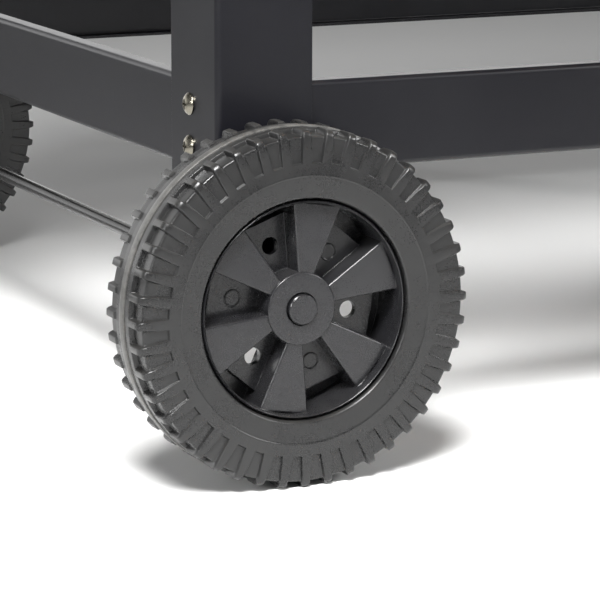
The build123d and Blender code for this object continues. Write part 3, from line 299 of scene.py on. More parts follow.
# ---------------------------------------------------------------- finishes
@dataclass(frozen=True)
class Finish:
    """A coated, moulded or bare surface, with grain, eased and worn edges and a little dust."""

    slot: str
    colour: Colour
    tint: Colour
    roughness: float = 0.4
    roughness_spread: float = 0.08
    metallic: float = 0.0
    pattern: Pattern = Pattern.EVEN
    fine_scale: float = 900.0
    broad_scale: float = 14.0
    relief: float = 0.02 * MM
    edge_radius: float = 0.8 * MM
    wear_colour: Colour = (0.25, 0.25, 0.25)
    wear: float = 0.2
    dust: float = 0.05
    edge_gloss: float = 0.8
    scuff_colour: Colour | None = None
    coat: float = 0.0
    ior: float = 1.5

    def colours(self, bench: Bench, place: Any, tone: Any) -> Any:
        """Base colour before wear and dust.

        Args:
            bench: The material's bench.
            place: Object coordinates; not used by this plain finish.
            tone: The grain's slow change of tone.

        Returns:
            The colour's output.
        """
        return bench.blend(tone, rgba(self.colour), rgba(self.tint))

    def scuff_mask(self, bench: Bench, place: Any) -> NodeSocket:
        """Where the mesh's scuff attribute is rubbed through, in patches.

        Args:
            bench: The material's bench.
            place: Object coordinates.

        Returns:
            The mask's output.
        """
        scuff = bench.add("ShaderNodeAttribute", attribute_name="scuff").outputs["Fac"]
        rubbed = bench.remap(bench.noise(place, 170.0, 5.0, 0.7), 0.33, 0.6, 0.25, 1.0)
        return bench.times(scuff, rubbed)

    def material(self) -> Material:
        """The finish as a material, built at its first use.

        Returns:
            The material.
        """
        made = bpy.data.materials.get(self.slot)
        if made is not None and made.get("dressed"):
            return made
        made = bpy.data.materials.new(self.slot)
        made["dressed"] = True
        made.use_nodes = True
        made.node_tree.nodes.clear()
        bench = Bench(made.node_tree)
        where = bench.add("ShaderNodeTexCoord").outputs
        grain = GRAIN.place(bench, Place=where["Object"], Stretch=self.pattern.value,
                            Fine_Scale=self.fine_scale, Broad_Scale=self.broad_scale)
        edges = WEAR.place(bench, Place=where["Object"], Radius=self.edge_radius, Amount=self.wear)
        dust = DUST.place(bench, Place=where["Object"], Facing=where["Normal"], Amount=self.dust)
        colour = self.colours(bench, where["Object"], grain["Tone"])
        rough = bench.remap(grain["Tone"], 0.0, 1.0, self.roughness - self.roughness_spread / 2,
                            self.roughness + self.roughness_spread / 2)
        if self.scuff_colour is not None:
            scuff = self.scuff_mask(bench, where["Object"])
            colour = bench.blend(scuff, colour, rgba(self.scuff_colour))
            rough = bench.calc("ADD", rough, bench.times(scuff, 0.12))
        colour = bench.blend(edges["Mask"], colour, rgba(self.wear_colour))
        colour = bench.blend(dust["Mask"], colour, rgba(DUST_COLOUR))
        rough = bench.calc("ADD", rough, bench.times(dust["Mask"], 0.4))
        kept = bench.remap(edges["Edge"], 0.0, 1.0, 1.0, self.edge_gloss)
        rough = bench.times(rough, kept)
        bump = bench.add("ShaderNodeBump", {
            "Distance": self.relief, "Strength": 1.0, "Height": grain["Height"], "Normal": edges["Normal"],
        })
        shader = bench.add("ShaderNodeBsdfPrincipled", {
            "Base Color": colour, "Roughness": rough, "Metallic": self.metallic, "Normal": bump.outputs[0],
            "Coat Weight": self.coat, "Coat Roughness": 0.12, "IOR": self.ior,
        })
        bench.add("ShaderNodeOutputMaterial", {"Surface": shader.outputs[0]})
        return made


@dataclass(frozen=True)
class OiledWood(Finish):
    """Hardwood with growth rings and pores along its length."""

    ring_scale: float = 22.0

    def colours(self, bench: Bench, place: Any, tone: Any) -> Any:
        """Warped rings stretched along the board, with dark pores."""
        along = bench.stretched(place, (0.07, 1.0, 1.0))
        warp = bench.noise(along, self.ring_scale, 4.0, 0.6)
        bands = bench.calc("PINGPONG", bench.times(warp, 9.0), 1.0)
        pores = bench.remap(bench.noise(along, 900.0, 2.0), 0.56, 0.7)
        colour = bench.blend(bands, rgba(self.colour), rgba(self.tint))
        colour = bench.blend(bench.times(tone, 0.35), colour, rgba(self.colour))
        return bench.blend(bench.times(pores, 0.6), colour, rgba(PORE_COLOUR))


@dataclass(frozen=True)
class ClearGlass:
    """Clear pane over the dial."""

    slot: str = "glass"
    roughness: float = 0.03

    def material(self) -> Material:
        """The pane's material.

        Returns:
            The material.
        """
        made = bpy.data.materials.new(self.slot)
        made.use_nodes = True
        made.node_tree.nodes.clear()
        bench = Bench(made.node_tree)
        where = bench.add("ShaderNodeTexCoord").outputs
        cloud = bench.noise(where["Object"], 60.0, 3.0)
        smear = bench.remap(cloud, 0.3, 0.7, self.roughness, self.roughness + 0.06)
        shader = bench.add("ShaderNodeBsdfPrincipled", {
            "Base Color": (0.95, 0.98, 0.98, 1.0), "Roughness": smear, "IOR": 1.05,
            "Transmission Weight": 1.0,
        })
        bench.add("ShaderNodeOutputMaterial", {"Surface": shader.outputs[0]})
        return made


FINISHES: tuple[Finish | ClearGlass, ...] = (
    Finish("cart_paint", (0.005, 0.005, 0.0075), (0.008, 0.008, 0.0105), 0.34, 0.05, fine_scale=1100.0,
           relief=0.012 * MM, edge_radius=0.5 * MM, wear=0.08, wear_colour=grey(0.10), dust=0.02, ior=1.42),
    Finish("axle_paint", (0.006, 0.006, 0.0065), grey(0.01), 0.25),
    Finish("barrel_paint", (0.016, 0.016, 0.0165), (0.026, 0.025, 0.024), 0.52, 0.12, fine_scale=1500.0,
           wear=0.12, wear_colour=(0.10, 0.095, 0.09)),
    Finish("zinc", (0.17, 0.16, 0.135), (0.30, 0.28, 0.225), 0.24, 0.14, 1.0, fine_scale=2200.0,
           relief=0.006 * MM, edge_radius=0.35 * MM, wear=0.1, wear_colour=(0.8, 0.78, 0.7)),
    Finish("handle_steel", (0.52, 0.52, 0.51), (0.62, 0.62, 0.61), 0.26, 0.1, 1.0, Pattern.ALONG_X, 1800.0,
           relief=0.006 * MM, edge_radius=0.5 * MM, wear=0.1, wear_colour=grey(0.8)),
    Finish("tyre_plastic", (0.011, 0.011, 0.0115), grey(0.018), 0.29, 0.1, fine_scale=1300.0,
           broad_scale=30.0, edge_radius=0.4 * MM, wear=0.3, wear_colour=(0.12, 0.12, 0.115),
           edge_gloss=0.6, scuff_colour=(0.10, 0.098, 0.092)),
    Finish("wheel_plastic", (0.012, 0.012, 0.0135), (0.019, 0.019, 0.0205), 0.27, fine_scale=1600.0,
           broad_scale=20.0, relief=0.01 * MM, edge_radius=0.5 * MM, wear=0.22, wear_colour=grey(0.15),
           dust=0.03, edge_gloss=0.5),
    Finish("foot_plastic", grey(0.012), grey(0.018), 0.5, relief=0.03 * MM, dust=0.08),
    OiledWood("wood", (0.30, 0.150, 0.065), (0.42, 0.235, 0.115), 0.48, 0.12, fine_scale=700.0,
              pattern=Pattern.ALONG_X, relief=0.05 * MM, edge_radius=1.2 * MM,
              wear_colour=(0.5, 0.33, 0.2), dust=0.04),
    Finish("thermometer_steel", (0.62, 0.62, 0.61), (0.70, 0.70, 0.69), 0.24, 0.08, 1.0,
           relief=0.004 * MM, edge_radius=0.5 * MM, wear=0.05, dust=0.02),
    Finish("needle_paint", (0.5, 0.03, 0.02), (0.55, 0.05, 0.03), 0.3, wear=0.0, dust=0.0,
           relief=0.004 * MM, edge_radius=0.2 * MM),
    ClearGlass(),
    Finish("damper_steel", (0.40, 0.39, 0.38), (0.52, 0.51, 0.50), 0.38, 0.14, 1.0, Pattern.ALONG_Z, 1500.0,
           relief=0.01 * MM, edge_radius=0.4 * MM, wear=0.15, wear_colour=grey(0.7)),
    Finish("drawer_steel", (0.36, 0.37, 0.38), (0.50, 0.51, 0.53), 0.42, 0.18, 1.0, broad_scale=55.0,
           relief=0.006 * MM, edge_radius=0.5 * MM, wear=0.1, wear_colour=grey(0.7), dust=0.06),
    Finish("grate_steel", (0.035, 0.03, 0.027), (0.07, 0.058, 0.048), 0.55, 0.2, 0.6, broad_scale=40.0,
           relief=0.03 * MM, edge_radius=0.3 * MM, wear=0.3, wear_colour=(0.2, 0.17, 0.14)),
)
DIAL_WHITE = Finish("dial_white", (0.78, 0.77, 0.72), (0.82, 0.81, 0.77), 0.45, wear=0.0, dust=0.0,
                    relief=0.004 * MM)
DIAL_INK = Finish("dial_ink", grey(0.012), grey(0.02), 0.5, wear=0.0, dust=0.0, relief=0.004 * MM)


def finish_for(slot: str) -> Material:
    """Material of one of the record's slots."""
    return next(finish for finish in FINISHES if finish.slot == slot).material()


# ---------------------------------------------------------------- meshes
def evaluated_mesh(holder: Object) -> Mesh:
    """Plain mesh of an object with its modifiers run."""
    bpy.context.view_layer.update()
    return bpy.data.meshes.new_from_object(holder.evaluated_get(bpy.context.evaluated_depsgraph_get()))


def shown(name: str, mesh: Mesh) -> Object:
    """New object at the origin that shows a mesh."""
    made = bpy.data.objects.new(name, mesh)
    bpy.context.scene.collection.objects.link(made)
    return made


def with_clean_normals(mesh: Mesh, name: str, angle: float = 50.0) -> Mesh:
    """Smooth shading whose flats stay flat beside small roundings.

    Args:
        mesh: A closed mesh.
        name: Name of the finished mesh.
        angle: Edges bent by more than this many degrees stay sharp.

    Returns:
        A copy with weighted normals.
    """
    for polygon in mesh.polygons:
        polygon.use_smooth = True
    mesh.set_sharp_from_angle(angle=math.radians(angle))
    holder = shown("holder", mesh)
    weighted = holder.modifiers.new("weighted", "WEIGHTED_NORMAL")
    weighted.weight = 60
    weighted.keep_sharp = True
    made = evaluated_mesh(holder)
    bpy.data.objects.remove(holder)
    made.name = name
    return made


class Shells:
    """Closed shells gathered in one mesh. Turned shapes lie round the y axis, in metres."""

    def __init__(self) -> None:
        """Start with nothing."""
        self.bm = bmesh.new()

    def turned(self, profile: Sequence[Station], steps: int = 96, centre: Station = (0.0, 0.0)) -> None:
        """Add a ring or a dome.

        Args:
            profile: Closed outline as (radius, depth) points.
            steps: Sides round the axis.
            centre: Where the axis stands, in (x, z).
        """
        rows = []
        for k in range(steps):
            turn = 2 * math.pi * k / steps
            rows.append([
                self.bm.verts.new((centre[0] + r * math.cos(turn), d, centre[1] + r * math.sin(turn)))
                for r, d in profile
            ])
        for here, there in zip(rows, rows[1:] + rows[:1]):
            for j in range(len(profile)):
                n = (j + 1) % len(profile)
                self.bm.faces.new((here[j], here[n], there[n], there[j]))

    def prism(self, corners: Sequence[Station], depths: Station, bevel: float) -> None:
        """Add a straight prism with eased edges.

        Args:
            corners: Outline in (x, z).
            depths: Where it starts and ends along y.
            bevel: Radius of its edges.
        """
        low = [self.bm.verts.new((x, depths[0], z)) for x, z in corners]
        high = [self.bm.verts.new((x, depths[1], z)) for x, z in corners]
        faces = [self.bm.faces.new(low), self.bm.faces.new(list(reversed(high)))]
        for j in range(len(corners)):
            n = (j + 1) % len(corners)
            faces.append(self.bm.faces.new((low[j], high[j], high[n], low[n])))
        edges = list({edge for face in faces for edge in face.edges})
        if bevel > 0:
            bmesh.ops.bevel(self.bm, geom=edges, offset=bevel, segments=3, profile=0.5, affect="EDGES")

    def pierced(self, outlines: Sequence[Sequence[Station]], depths: Station) -> None:
        """Add a flat plate with holes.

        Args:
            outlines: The outer outline and the holes, in (x, z).
            depths: Where the plate starts and ends along y.
        """
        curve = bpy.data.curves.new("plate", "CURVE")
        curve.dimensions = "2D"
        curve.fill_mode = "BOTH"
        curve.extrude = (depths[1] - depths[0]) / 2
        for outline in outlines:
            spline = curve.splines.new("POLY")
            spline.points.add(len(outline) - 1)
            for point, (x, z) in zip(spline.points, outline):
                point.co = (x, z, 0.0, 1.0)
            spline.use_cyclic_u = True
        holder = shown("plate", curve)
        mesh = evaluated_mesh(holder)
        bpy.data.objects.remove(holder)
        mesh.transform(Matrix.Translation((0, sum(depths) / 2, 0)) @ Matrix.Rotation(math.pi / 2, 4, "X"))
        self.bm.from_mesh(mesh)

    def mesh(self, name: str, angle: float = 50.0) -> Mesh:
        """Close the seams, point the faces outwards and shade the shells.

        Args:
            name: The mesh's name.
            angle: Edges bent by more than this many degrees stay sharp.

        Returns:
            The finished mesh.
        """
        bmesh.ops.remove_doubles(self.bm, verts=self.bm.verts, dist=1e-6)
        bmesh.ops.recalc_face_normals(self.bm, faces=self.bm.faces)
        made = bpy.data.meshes.new(name)
        self.bm.to_mesh(made)
        self.bm.free()
        return with_clean_normals(made, name, angle)


def circle(radius: float, steps: int, centre: Station = (0.0, 0.0), start: float = 0.0) -> list[Station]:
    """Points of a circle in (x, z)."""
    turns = [start + 2 * math.pi * k / steps for k in range(steps)]
    return [(centre[0] + radius * math.cos(t), centre[1] + radius * math.sin(t)) for t in turns]


# ---------------------------------------------------------------- Geometry Nodes
class Tree:
    """A Geometry Nodes tree that ends in Realize Instances and Set Material."""

    label = "tree"
    inputs: tuple[tuple[str, str], ...] = ()

    def tree(self) -> NodeTree:
        """The tree, built at its first use.

        Returns:
            The Geometry Nodes tree.
        """
        made = bpy.data.node_groups.get(self.label)
        if made is None:
            made = bpy.data.node_groups.new(self.label, "GeometryNodeTree")
            sockets = (("Geometry", "NodeSocketGeometry"), *self.inputs, ("Finish", "NodeSocketMaterial"))
            for name, kind in sockets:
                made.interface.new_socket(name=name, in_out="INPUT", socket_type=kind)
            made.interface.new_socket(name="Geometry", in_out="OUTPUT", socket_type="NodeSocketGeometry")
            bench = Bench(made)
            given = bench.add("NodeGroupInput").outputs
            real = bench.add("GeometryNodeRealizeInstances", {"Geometry": self.grow(bench, given)})
            welded = bench.add("GeometryNodeMergeByDistance", {"Geometry": real.outputs[0], "Distance": 2e-6})
            smooth = bench.add("GeometryNodeSetShadeSmooth", {"Geometry": welded.outputs[0]})
            finished = bench.add("GeometryNodeSetMaterial", {
                "Geometry": smooth.outputs[0], "Material": given["Finish"],
            })
            bench.add("NodeGroupOutput", {"Geometry": finished.outputs[0]})
        return made

    def grow(self, bench: Bench, given: Any) -> Any:
        """Lay the nodes that make the instances."""
        raise NotImplementedError

    def run(self, base: Mesh, finish: Material, **settings: Any) -> Mesh:
        """Run the tree on a mesh.

        Args:
            base: The mesh that the tree starts from.
            finish: Material of the result.
            **settings: Inputs by name, with _ for a space.

        Returns:
            The result as a plain mesh.
        """
        holder = shown("holder", base)
        modifier = holder.modifiers.new("build", "NODES")
        modifier.node_group = self.tree()
        values = {"Finish": finish, **{k.replace("_", " "): v for k, v in settings.items()}}
        for item in modifier.node_group.interface.items_tree:
            if item.item_type == "SOCKET" and item.in_out == "INPUT" and item.name in values:
                modifier[item.identifier] = values[item.name]
        made = evaluated_mesh(holder)
        holder.modifiers.remove(modifier)
        bpy.data.objects.remove(holder)
        return made


class RoundTheAxle(Tree):
    """Repeats one sector round the y axis."""

    label = "round_the_axle"
    inputs = (("Sector Count", "NodeSocketInt"),)

    def grow(self, bench: Bench, given: Any) -> Any:
        """One instance for each sector, turned by its share of a turn."""
        share = bench.calc("DIVIDE", 2 * math.pi, given["Sector Count"])
        angle = bench.times(bench.add("GeometryNodeInputIndex").outputs[0], share)
        turn = bench.add("FunctionNodeAxisAngleToRotation", {"Axis": (0.0, 1.0, 0.0), "Angle": angle})
        return bench.add("GeometryNodeInstanceOnPoints", {
            "Points": bench.stacked(given["Sector Count"]), "Instance": given["Geometry"],
            "Rotation": turn.outputs[0],
        }).outputs[0]


class HeadsOnPoints(Tree):
    """Puts a small head on every point of a mesh, standing along the point's facing."""

    label = "heads_on_points"
    inputs = (("Head", "NodeSocketObject"), ("Head Size", "NodeSocketFloat"))

    def grow(self, bench: Bench, given: Any) -> Any:
        """Instances of the head turned to the stored facing."""
        head = bench.add("GeometryNodeObjectInfo", {"Object": given["Head"]})
        facing = bench.add("GeometryNodeInputNamedAttribute", {"Name": "facing"}, data_type="FLOAT_VECTOR")
        turn = bench.add("FunctionNodeAlignRotationToVector", {"Vector": facing.outputs[0]}, axis="Z")
        return bench.add("GeometryNodeInstanceOnPoints", {
            "Points": given["Geometry"], "Instance": head.outputs["Geometry"], "Rotation": turn.outputs[0],
            "Scale": bench.vector(given["Head Size"], given["Head Size"], given["Head Size"]),
        }).outputs[0]


class DialTicks(Tree):
    """Ticks of a dial: every few of them longer, over a sweep that is open at the bottom."""

    label = "dial_ticks"
    inputs = (
        ("Tick Count", "NodeSocketInt"), ("Long Every", "NodeSocketInt"), ("Sweep", "NodeSocketFloat"),
        ("Radius", "NodeSocketFloat"), ("Tick Length", "NodeSocketFloat"), ("Tick Width", "NodeSocketFloat"),
    )

    def grow(self, bench: Bench, given: Any) -> Any:
        """A flat bar at the dial's edge, turned by its share of the sweep."""
        points = bench.stacked(given["Tick Count"])
        index = bench.add("GeometryNodeInputIndex").outputs[0]
        size = bench.vector(given["Tick Length"], given["Tick Width"], TICK_THICKNESS)
        bar = bench.add("GeometryNodeMeshCube", {"Size": size})
        half = bench.times(given["Tick Length"], -0.5)
        inwards = bench.add("GeometryNodeTransform", {
            "Geometry": bar.outputs["Mesh"], "Translation": bench.vector(half),
        })
        share = bench.calc("DIVIDE", given["Sweep"], bench.calc("SUBTRACT", given["Tick Count"], 1.0))
        start = bench.calc("ADD", bench.times(given["Sweep"], -0.5), math.pi / 2)
        angle = bench.calc("ADD", bench.times(index, share), start)
        minor = bench.calc("MINIMUM", bench.calc("MODULO", index, given["Long Every"]), 1.0)
        length = bench.remap(minor, 0.0, 1.0, LONG_TICK, 1.0)
        place = bench.vector(
            bench.times(given["Radius"], bench.calc("COSINE", angle)),
            bench.times(given["Radius"], bench.calc("SINE", angle)),
        )
        moved = bench.add("GeometryNodeSetPosition", {"Geometry": points, "Position": place})
        turn = bench.add("FunctionNodeAxisAngleToRotation", {"Axis": (0.0, 0.0, 1.0), "Angle": angle})
        return bench.add("GeometryNodeInstanceOnPoints", {
            "Points": moved.outputs[0], "Instance": inwards.outputs[0], "Rotation": turn.outputs[0],
            "Scale": bench.vector(length, 1.0, 1.0),
        }).outputs[0]


class WeldBead(Tree):
    """Overlapping ripples of weld along the edges of a mesh."""

    label = "weld_bead"
    inputs = (("Bead Radius", "NodeSocketFloat"), ("Pitch", "NodeSocketFloat"))

    def grow(self, bench: Bench, given: Any) -> Any:
        """Flattened drops along the seam, each leaning on the one before."""
        seam = bench.add("GeometryNodeMeshToCurve", {"Mesh": given["Geometry"]})
        points = bench.add("GeometryNodeCurveToPoints", {"Curve": seam.outputs[0], "Length": given["Pitch"]},
                           mode="LENGTH")
        drop = bench.add("GeometryNodeMeshIcoSphere", {"Radius": given["Bead Radius"], "Subdivisions": 2})
        return bench.add("GeometryNodeInstanceOnPoints", {
            "Points": points.outputs["Points"], "Instance": drop.outputs["Mesh"],
            "Rotation": points.outputs["Rotation"], "Scale": (0.7, 1.0, 1.3),
        }).outputs[0]


ROUND_THE_AXLE = RoundTheAxle()
HEADS = HeadsOnPoints()
TICKS = DialTicks()
WELD = WeldBead()


def point_mesh(places: Sequence[Vector], facings: Sequence[Vector]) -> Mesh:
    """Loose points that each store the way they face.

    Args:
        places: The points.
        facings: Unit vectors, one for each point.

    Returns:
        The mesh.
    """
    mesh = bpy.data.meshes.new("points")
    mesh.from_pydata([tuple(p) for p in places], [], [])
    stored = mesh.attributes.new("facing", "FLOAT_VECTOR", "POINT")
    for item, facing in zip(stored.data, facings):
        item.vector = facing
    return mesh


@dataclass(frozen=True)
class Head:
    """Domed head of a rivet or a coach bolt, in millimetres."""

    radius: float = 3.2
    height: float = 1.6

    def scatter(
        self, name: str, body: str, slot: str, places: Sequence[Vector], facings: Sequence[Vector],
    ) -> None:
        """Put the head on points and let it ride on a body.

        Args:
            name: The piece's name.
            body: The CAD body it moves with.
            slot: The record's material slot.
            places: Where the heads stand.
            facings: The way each one faces.
        """
        r, h = self.radius * MM, self.height * MM
        shells = Shells()
        shells.turned([
            (0.0, h), (r * 0.5, h * 0.86), (r * 0.86, h * 0.5), (r, h * 0.12), (r, -0.5 * h), (0.0, -0.5 * h),
        ], 14)
        mesh = shells.mesh("head", 40.0)
        mesh.transform(Matrix.Rotation(math.pi / 2, 4, "X"))
        template = shown("head_template", mesh)
        made = HEADS.run(point_mesh(places, facings), finish_for(slot), Head=template, Head_Size=1.0)
        bpy.data.objects.remove(template)
        piece = shown(name, made)
        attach(piece, body)
        LOG.info("%s: %d heads on %s", name, len(places), body)


# ---------------------------------------------------------------- wheels
@dataclass(frozen=True)
class Tyre:
    """Moulded tyre with crossbars, a middle rib and pockets in its sidewalls. Sizes in millimetres."""

    side: WheelSide
    lugs: int = 44
    crest: float = 98.0
    floor: float = 94.5
    rib: float = 97.0
    band: float = 97.7
    band_depth: Station = (21.4, 27.2)
    bore: float = 60.3
    width: float = 48.0
    face: float = 0.3
    pocket_start: float = 80.0
    pocket_depth: float = 2.1
    ridge: float = 73.5
    bar_half: Station = (2.0, 0.95)
    flank: Station = (0.2, 1.0)

    def half_profile(self, raised: bool) -> list[Station]:
        """Outline of one half, from the bore over the sidewall to the rib.

        Args:
            raised: True on a crossbar, False in the gap between two.

        Returns:
            Points as (radius, depth).
        """
        face, start, deep = self.face, self.pocket_start, self.pocket_depth
        shared = [
            (self.bore, 5.0), (self.bore + 0.5, 3.0), (self.bore + 0.9, 1.6), (self.bore + 2.0, face + 0.5),
            (self.ridge - 1.0, face + 0.4), (self.ridge - 0.45, 0.02), (self.ridge + 0.2, 0.02),
            (self.ridge + 0.7, face), (start - 0.3, face),
        ]
        if raised:
            own = [
                (start, face), (start + 0.3, face), (start + 0.6, face), (87.0, face), (92.6, face),
                (94.6, face + 0.2), (96.2, 1.1), (97.3, 2.3), (97.8, 3.5), (self.crest, 4.8),
                (self.crest, 13.6), (self.crest - 0.2, 14.2), (self.rib + 0.2, 14.7), (self.rib, 15.4),
            ]
        else:
            own = [
                (start, face + 0.12), (start + 0.25, deep - 0.3), (start + 0.6, deep), (87.0, deep),
                (92.6, deep), (93.5, deep + 0.06), (94.0, deep + 0.3), (94.3, deep + 0.7),
                (self.floor, deep + 1.4), (self.floor, 5.4), (self.floor, 13.6), (self.floor + 0.1, 14.2),
                (self.rib - 0.3, 14.8), (self.rib, 15.3),
            ]
        return shared + own

    def profile(self, raised: bool) -> list[Station]:
        """Closed outline: the near half, the rib with its parting band, and the far half."""
        half = self.half_profile(raised)
        start, end = self.band_depth
        middle = [
            (self.rib, start - 1.3), (self.rib - 0.2, start - 1.0), (self.rib - 1.0, start - 0.8),
            (self.rib - 1.0, start - 0.2), (self.band - 0.3, start), (self.band, start + 0.4),
            (self.band + 0.1, (start + end) / 2), (self.band, end - 0.3), (self.rib + 0.1, end),
        ]
        return half + middle + [(r, self.width - d) for r, d in reversed(half)]

    def bar_edge(self, radius: float, depth: float) -> Station:
        """Where a crossbar's top ends and where its flank meets the gap, for one point of its outline.

        Args:
            radius: The point's radius on the bar.
            depth: Its depth.

        Returns:
            The two half angles in degrees.
        """
        inner, outer = self.bar_half
        narrow, wide = self.flank
        along = min(max((radius - self.pocket_start) / (94.0 - self.pocket_start), 0.0), 1.0) ** 1.6
        over = min(max((min(depth, self.width - depth) - 1.0) / 4.0, 0.0), 1.0)
        top = inner + (outer - inner) * along
        return top, top + narrow + (wide - narrow) * along * (1.0 - 0.55 * over)

    def sector(self) -> Mesh:
        """One sector: a crossbar with half a gap at each side.

        Returns:
            An open strip whose ends meet those of its neighbours.
        """
        raised, cut = self.profile(True), self.profile(False)
        edges = [self.bar_edge(r, d) for r, d in raised]
        half = 180.0 / self.lugs
        flank = [(0.0, 0.02), (0.2, 0.08), (0.45, 0.3), (0.7, 0.72), (0.88, 0.95), (1.0, 1.0)]
        mesh = bpy.data.meshes.new("tyre_sector")
        places, scuffs, faces = [], [], []
        before, after = [(-1, step) for step in reversed(flank)], [(1, step) for step in flank]
        rows = [(-1, None), *before, (0, None), *after, (1, None)]
        for way, step in rows:
            for (r0, d0), (r1, d1), (top, base) in zip(raised, cut, edges):
                share = (1.0 if way else 0.0) if step is None else step[1]
                angle = half if step is None else top + (base - top) * step[0]
                turn = math.radians(way * angle)
                r, d = (r0 + (r1 - r0) * share) * MM, (d0 + (d1 - d0) * share) * MM
                places.append((r * math.cos(turn), d * self.side.inward, r * math.sin(turn)))
                on_band = self.band_depth[0] - 0.1 < d / MM < self.band_depth[1] - 0.1
                on_bar = r > (self.crest - 0.4) * MM
                scuffs.append(1.0 if on_band else 0.16 if on_bar else 0.0)
        count = len(raised)
        for i in range(len(rows) - 1):
            for j in range(count):
                n = (j + 1) % count
                a, b = i * count, (i + 1) * count
                faces.append((a + j, a + n, b + n, b + j))
        mesh.from_pydata(places, [], faces)
        stored = mesh.attributes.new("scuff", "FLOAT", "POINT")
        stored.data.foreach_set("value", scuffs)
        return mesh

    def build(self) -> None:
        """Repeat the sector round the axle, and let the tyre stand for its CAD node."""
        node = f"{self.side.value}_tyre"
        mesh = ROUND_THE_AXLE.run(self.sector(), finish_for("tyre_plastic"), Sector_Count=self.lugs)
        solid = bmesh.new()
        solid.from_mesh(mesh)
        bmesh.ops.remove_doubles(solid, verts=solid.verts, dist=1e-6)
        bmesh.ops.recalc_face_normals(solid, faces=solid.faces)
        solid.to_mesh(mesh)
        solid.free()
        mesh.transform(self.side.place())
        piece = shown(f"{node}_moulded", with_clean_normals(mesh, node, 62.0))
        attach(piece, f"{self.side.value}_wheel")
        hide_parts(node)
        LOG.info("%s: %d crossbars, %d faces", piece.name, self.lugs, len(piece.data.polygons))


@dataclass(frozen=True)
class WheelCentre:
    """Rim, six wedge spokes, stepped web and boss of a wheel. Sizes in millimetres."""

    side: WheelSide
    rim: Station = (58.2, 60.0)
    rim_depth: Station = (2.5, 45.5)
    spokes: int = 6
    first_spoke: float = 20.0
    spoke_half: float = 14.35
    spoke_depth: Station = (8.5, 40.0)
    spoke_edge: float = 1.3
    boss: float = 20.0
    boss_depth: Station = (7.0, 46.0)
    bore: float = 4.25
    counterbore: Station = (8.9, 11.0)
    web: Station = (19.0, 49.0)
    web_depth: Station = (22.0, 26.0)
    web_wall: float = 1.5
    outer_web: Station = (48.2, 58.8)
    outer_web_depth: Station = (31.0, 33.5)
    hole: float = 4.75
    hole_pitch: float = 35.0

    def rim_and_boss(self, shells: Shells) -> None:
        """Add the two turned walls, with rounded lips.

        Args:
            shells: Where the shells are gathered.
        """
        inner, outer = self.rim
        front, back = self.rim_depth
        shells.turned([(r * MM, d * MM) for r, d in (
            (outer, front + 3.0), (outer - 0.5, front + 0.8), (outer - 0.9, front + 0.2),
            (outer - 1.3, front), (inner + 0.8, front), (inner + 0.3, front + 0.2), (inner, front + 0.8),
            (inner - 0.25, front + 5.0), (inner - 0.25, back - 5.0), (inner, back - 0.9),
            (inner + 0.3, back - 0.25), (inner + 0.9, back), (outer - 0.7, back), (outer - 0.2, back - 0.2),
            (outer, back - 0.7),
        )], 160)
        top, bottom = self.boss_depth
        wide, sunk = self.counterbore
        shells.turned([(r * MM, d * MM) for r, d in (
            (self.bore, sunk), (wide, sunk), (wide, top + 0.4), (wide + 0.15, top + 0.1), (wide + 0.4, top),
            (self.boss - 1.2, top), (self.boss - 0.5, top + 0.2), (self.boss - 0.1, top + 0.6),
            (self.boss, top + 1.2),
            (self.boss, bottom - 1.0), (self.boss - 1.0, bottom), (self.bore, bottom),
        )], 120)

    def on_pitch(self, degrees: float) -> Station:
        """Point of the hole circle at an angle, in (x, z)."""
        turn = math.radians(degrees)
        return self.hole_pitch * math.cos(turn) * MM, self.hole_pitch * math.sin(turn) * MM

    def webs(self, shells: Shells) -> None:
        """Add the stepped web, with three holes and three raised rings between them.

        Args:
            shells: Where the shells are gathered.
        """
        top, under = (d * MM for d in self.web_depth)
        inner, outer = (r * MM for r in self.outer_web)
        front, back = (d * MM for d in self.outer_web_depth)
        flats = [
            circle(apothem * MM / math.cos(math.pi / 6), 6, start=math.radians(self.first_spoke))
            for apothem in (self.web[1], self.web[1] - self.web_wall)
        ]
        outlines = [flats[0], circle(self.web[0] * MM, 96)]
        lip = [
            (self.hole * MM, top + MM), (self.hole * MM, top - 0.5 * MM),
            ((self.hole - 0.3) * MM, top - 0.7 * MM), ((self.hole - 0.7) * MM, top - 0.5 * MM),
            ((self.hole - 0.7) * MM, top + MM),
        ]
        for k in range(3):
            third = self.first_spoke + 120 * k
            outlines.append(circle(self.hole * MM, 32, self.on_pitch(third + 90)))
            shells.turned(lip, 32, self.on_pitch(third + 30))
        shells.pierced(outlines, (top, under))
        shells.pierced(flats, ((self.web_depth[1] - 0.5) * MM, (self.outer_web_depth[1] + 0.05) * MM))
        shells.turned([(inner, front), (outer, front), (outer, back), (inner, back)], 120)

    def build(self) -> None:
        """Gather the shells, and let them stand for the CAD node."""
        node = f"{self.side.value}_wheel_hub"
        shells = Shells()
        self.rim_and_boss(shells)
        self.webs(shells)
        for k in range(self.spokes):
            middle = self.first_spoke + k * 360 / self.spokes
            left, right = (math.radians(middle + half) for half in (-self.spoke_half, self.spoke_half))
            near, far = (self.boss - 2.0) * MM, (self.rim[0] + 1.4) * MM
            corners = [(near, left), (far, left), (far, right), (near, right)]
            shells.prism([(r * math.cos(a), r * math.sin(a)) for r, a in corners],
                         (self.spoke_depth[0] * MM, self.spoke_depth[1] * MM), self.spoke_edge * MM)
        mesh = shells.mesh(node, 42.0)
        if self.side is WheelSide.FAR:
            mesh.transform(Matrix.Scale(-1, 4, (0, 1, 0)))
            mesh.flip_normals()
        mesh.transform(self.side.place())
        mesh.materials.append(finish_for("wheel_plastic"))
        piece = shown(f"{node}_moulded", mesh)
        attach(piece, f"{self.side.value}_wheel")
        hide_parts(node)
        LOG.info("%s: %d spokes, %d faces", piece.name, self.spokes, len(mesh.polygons))


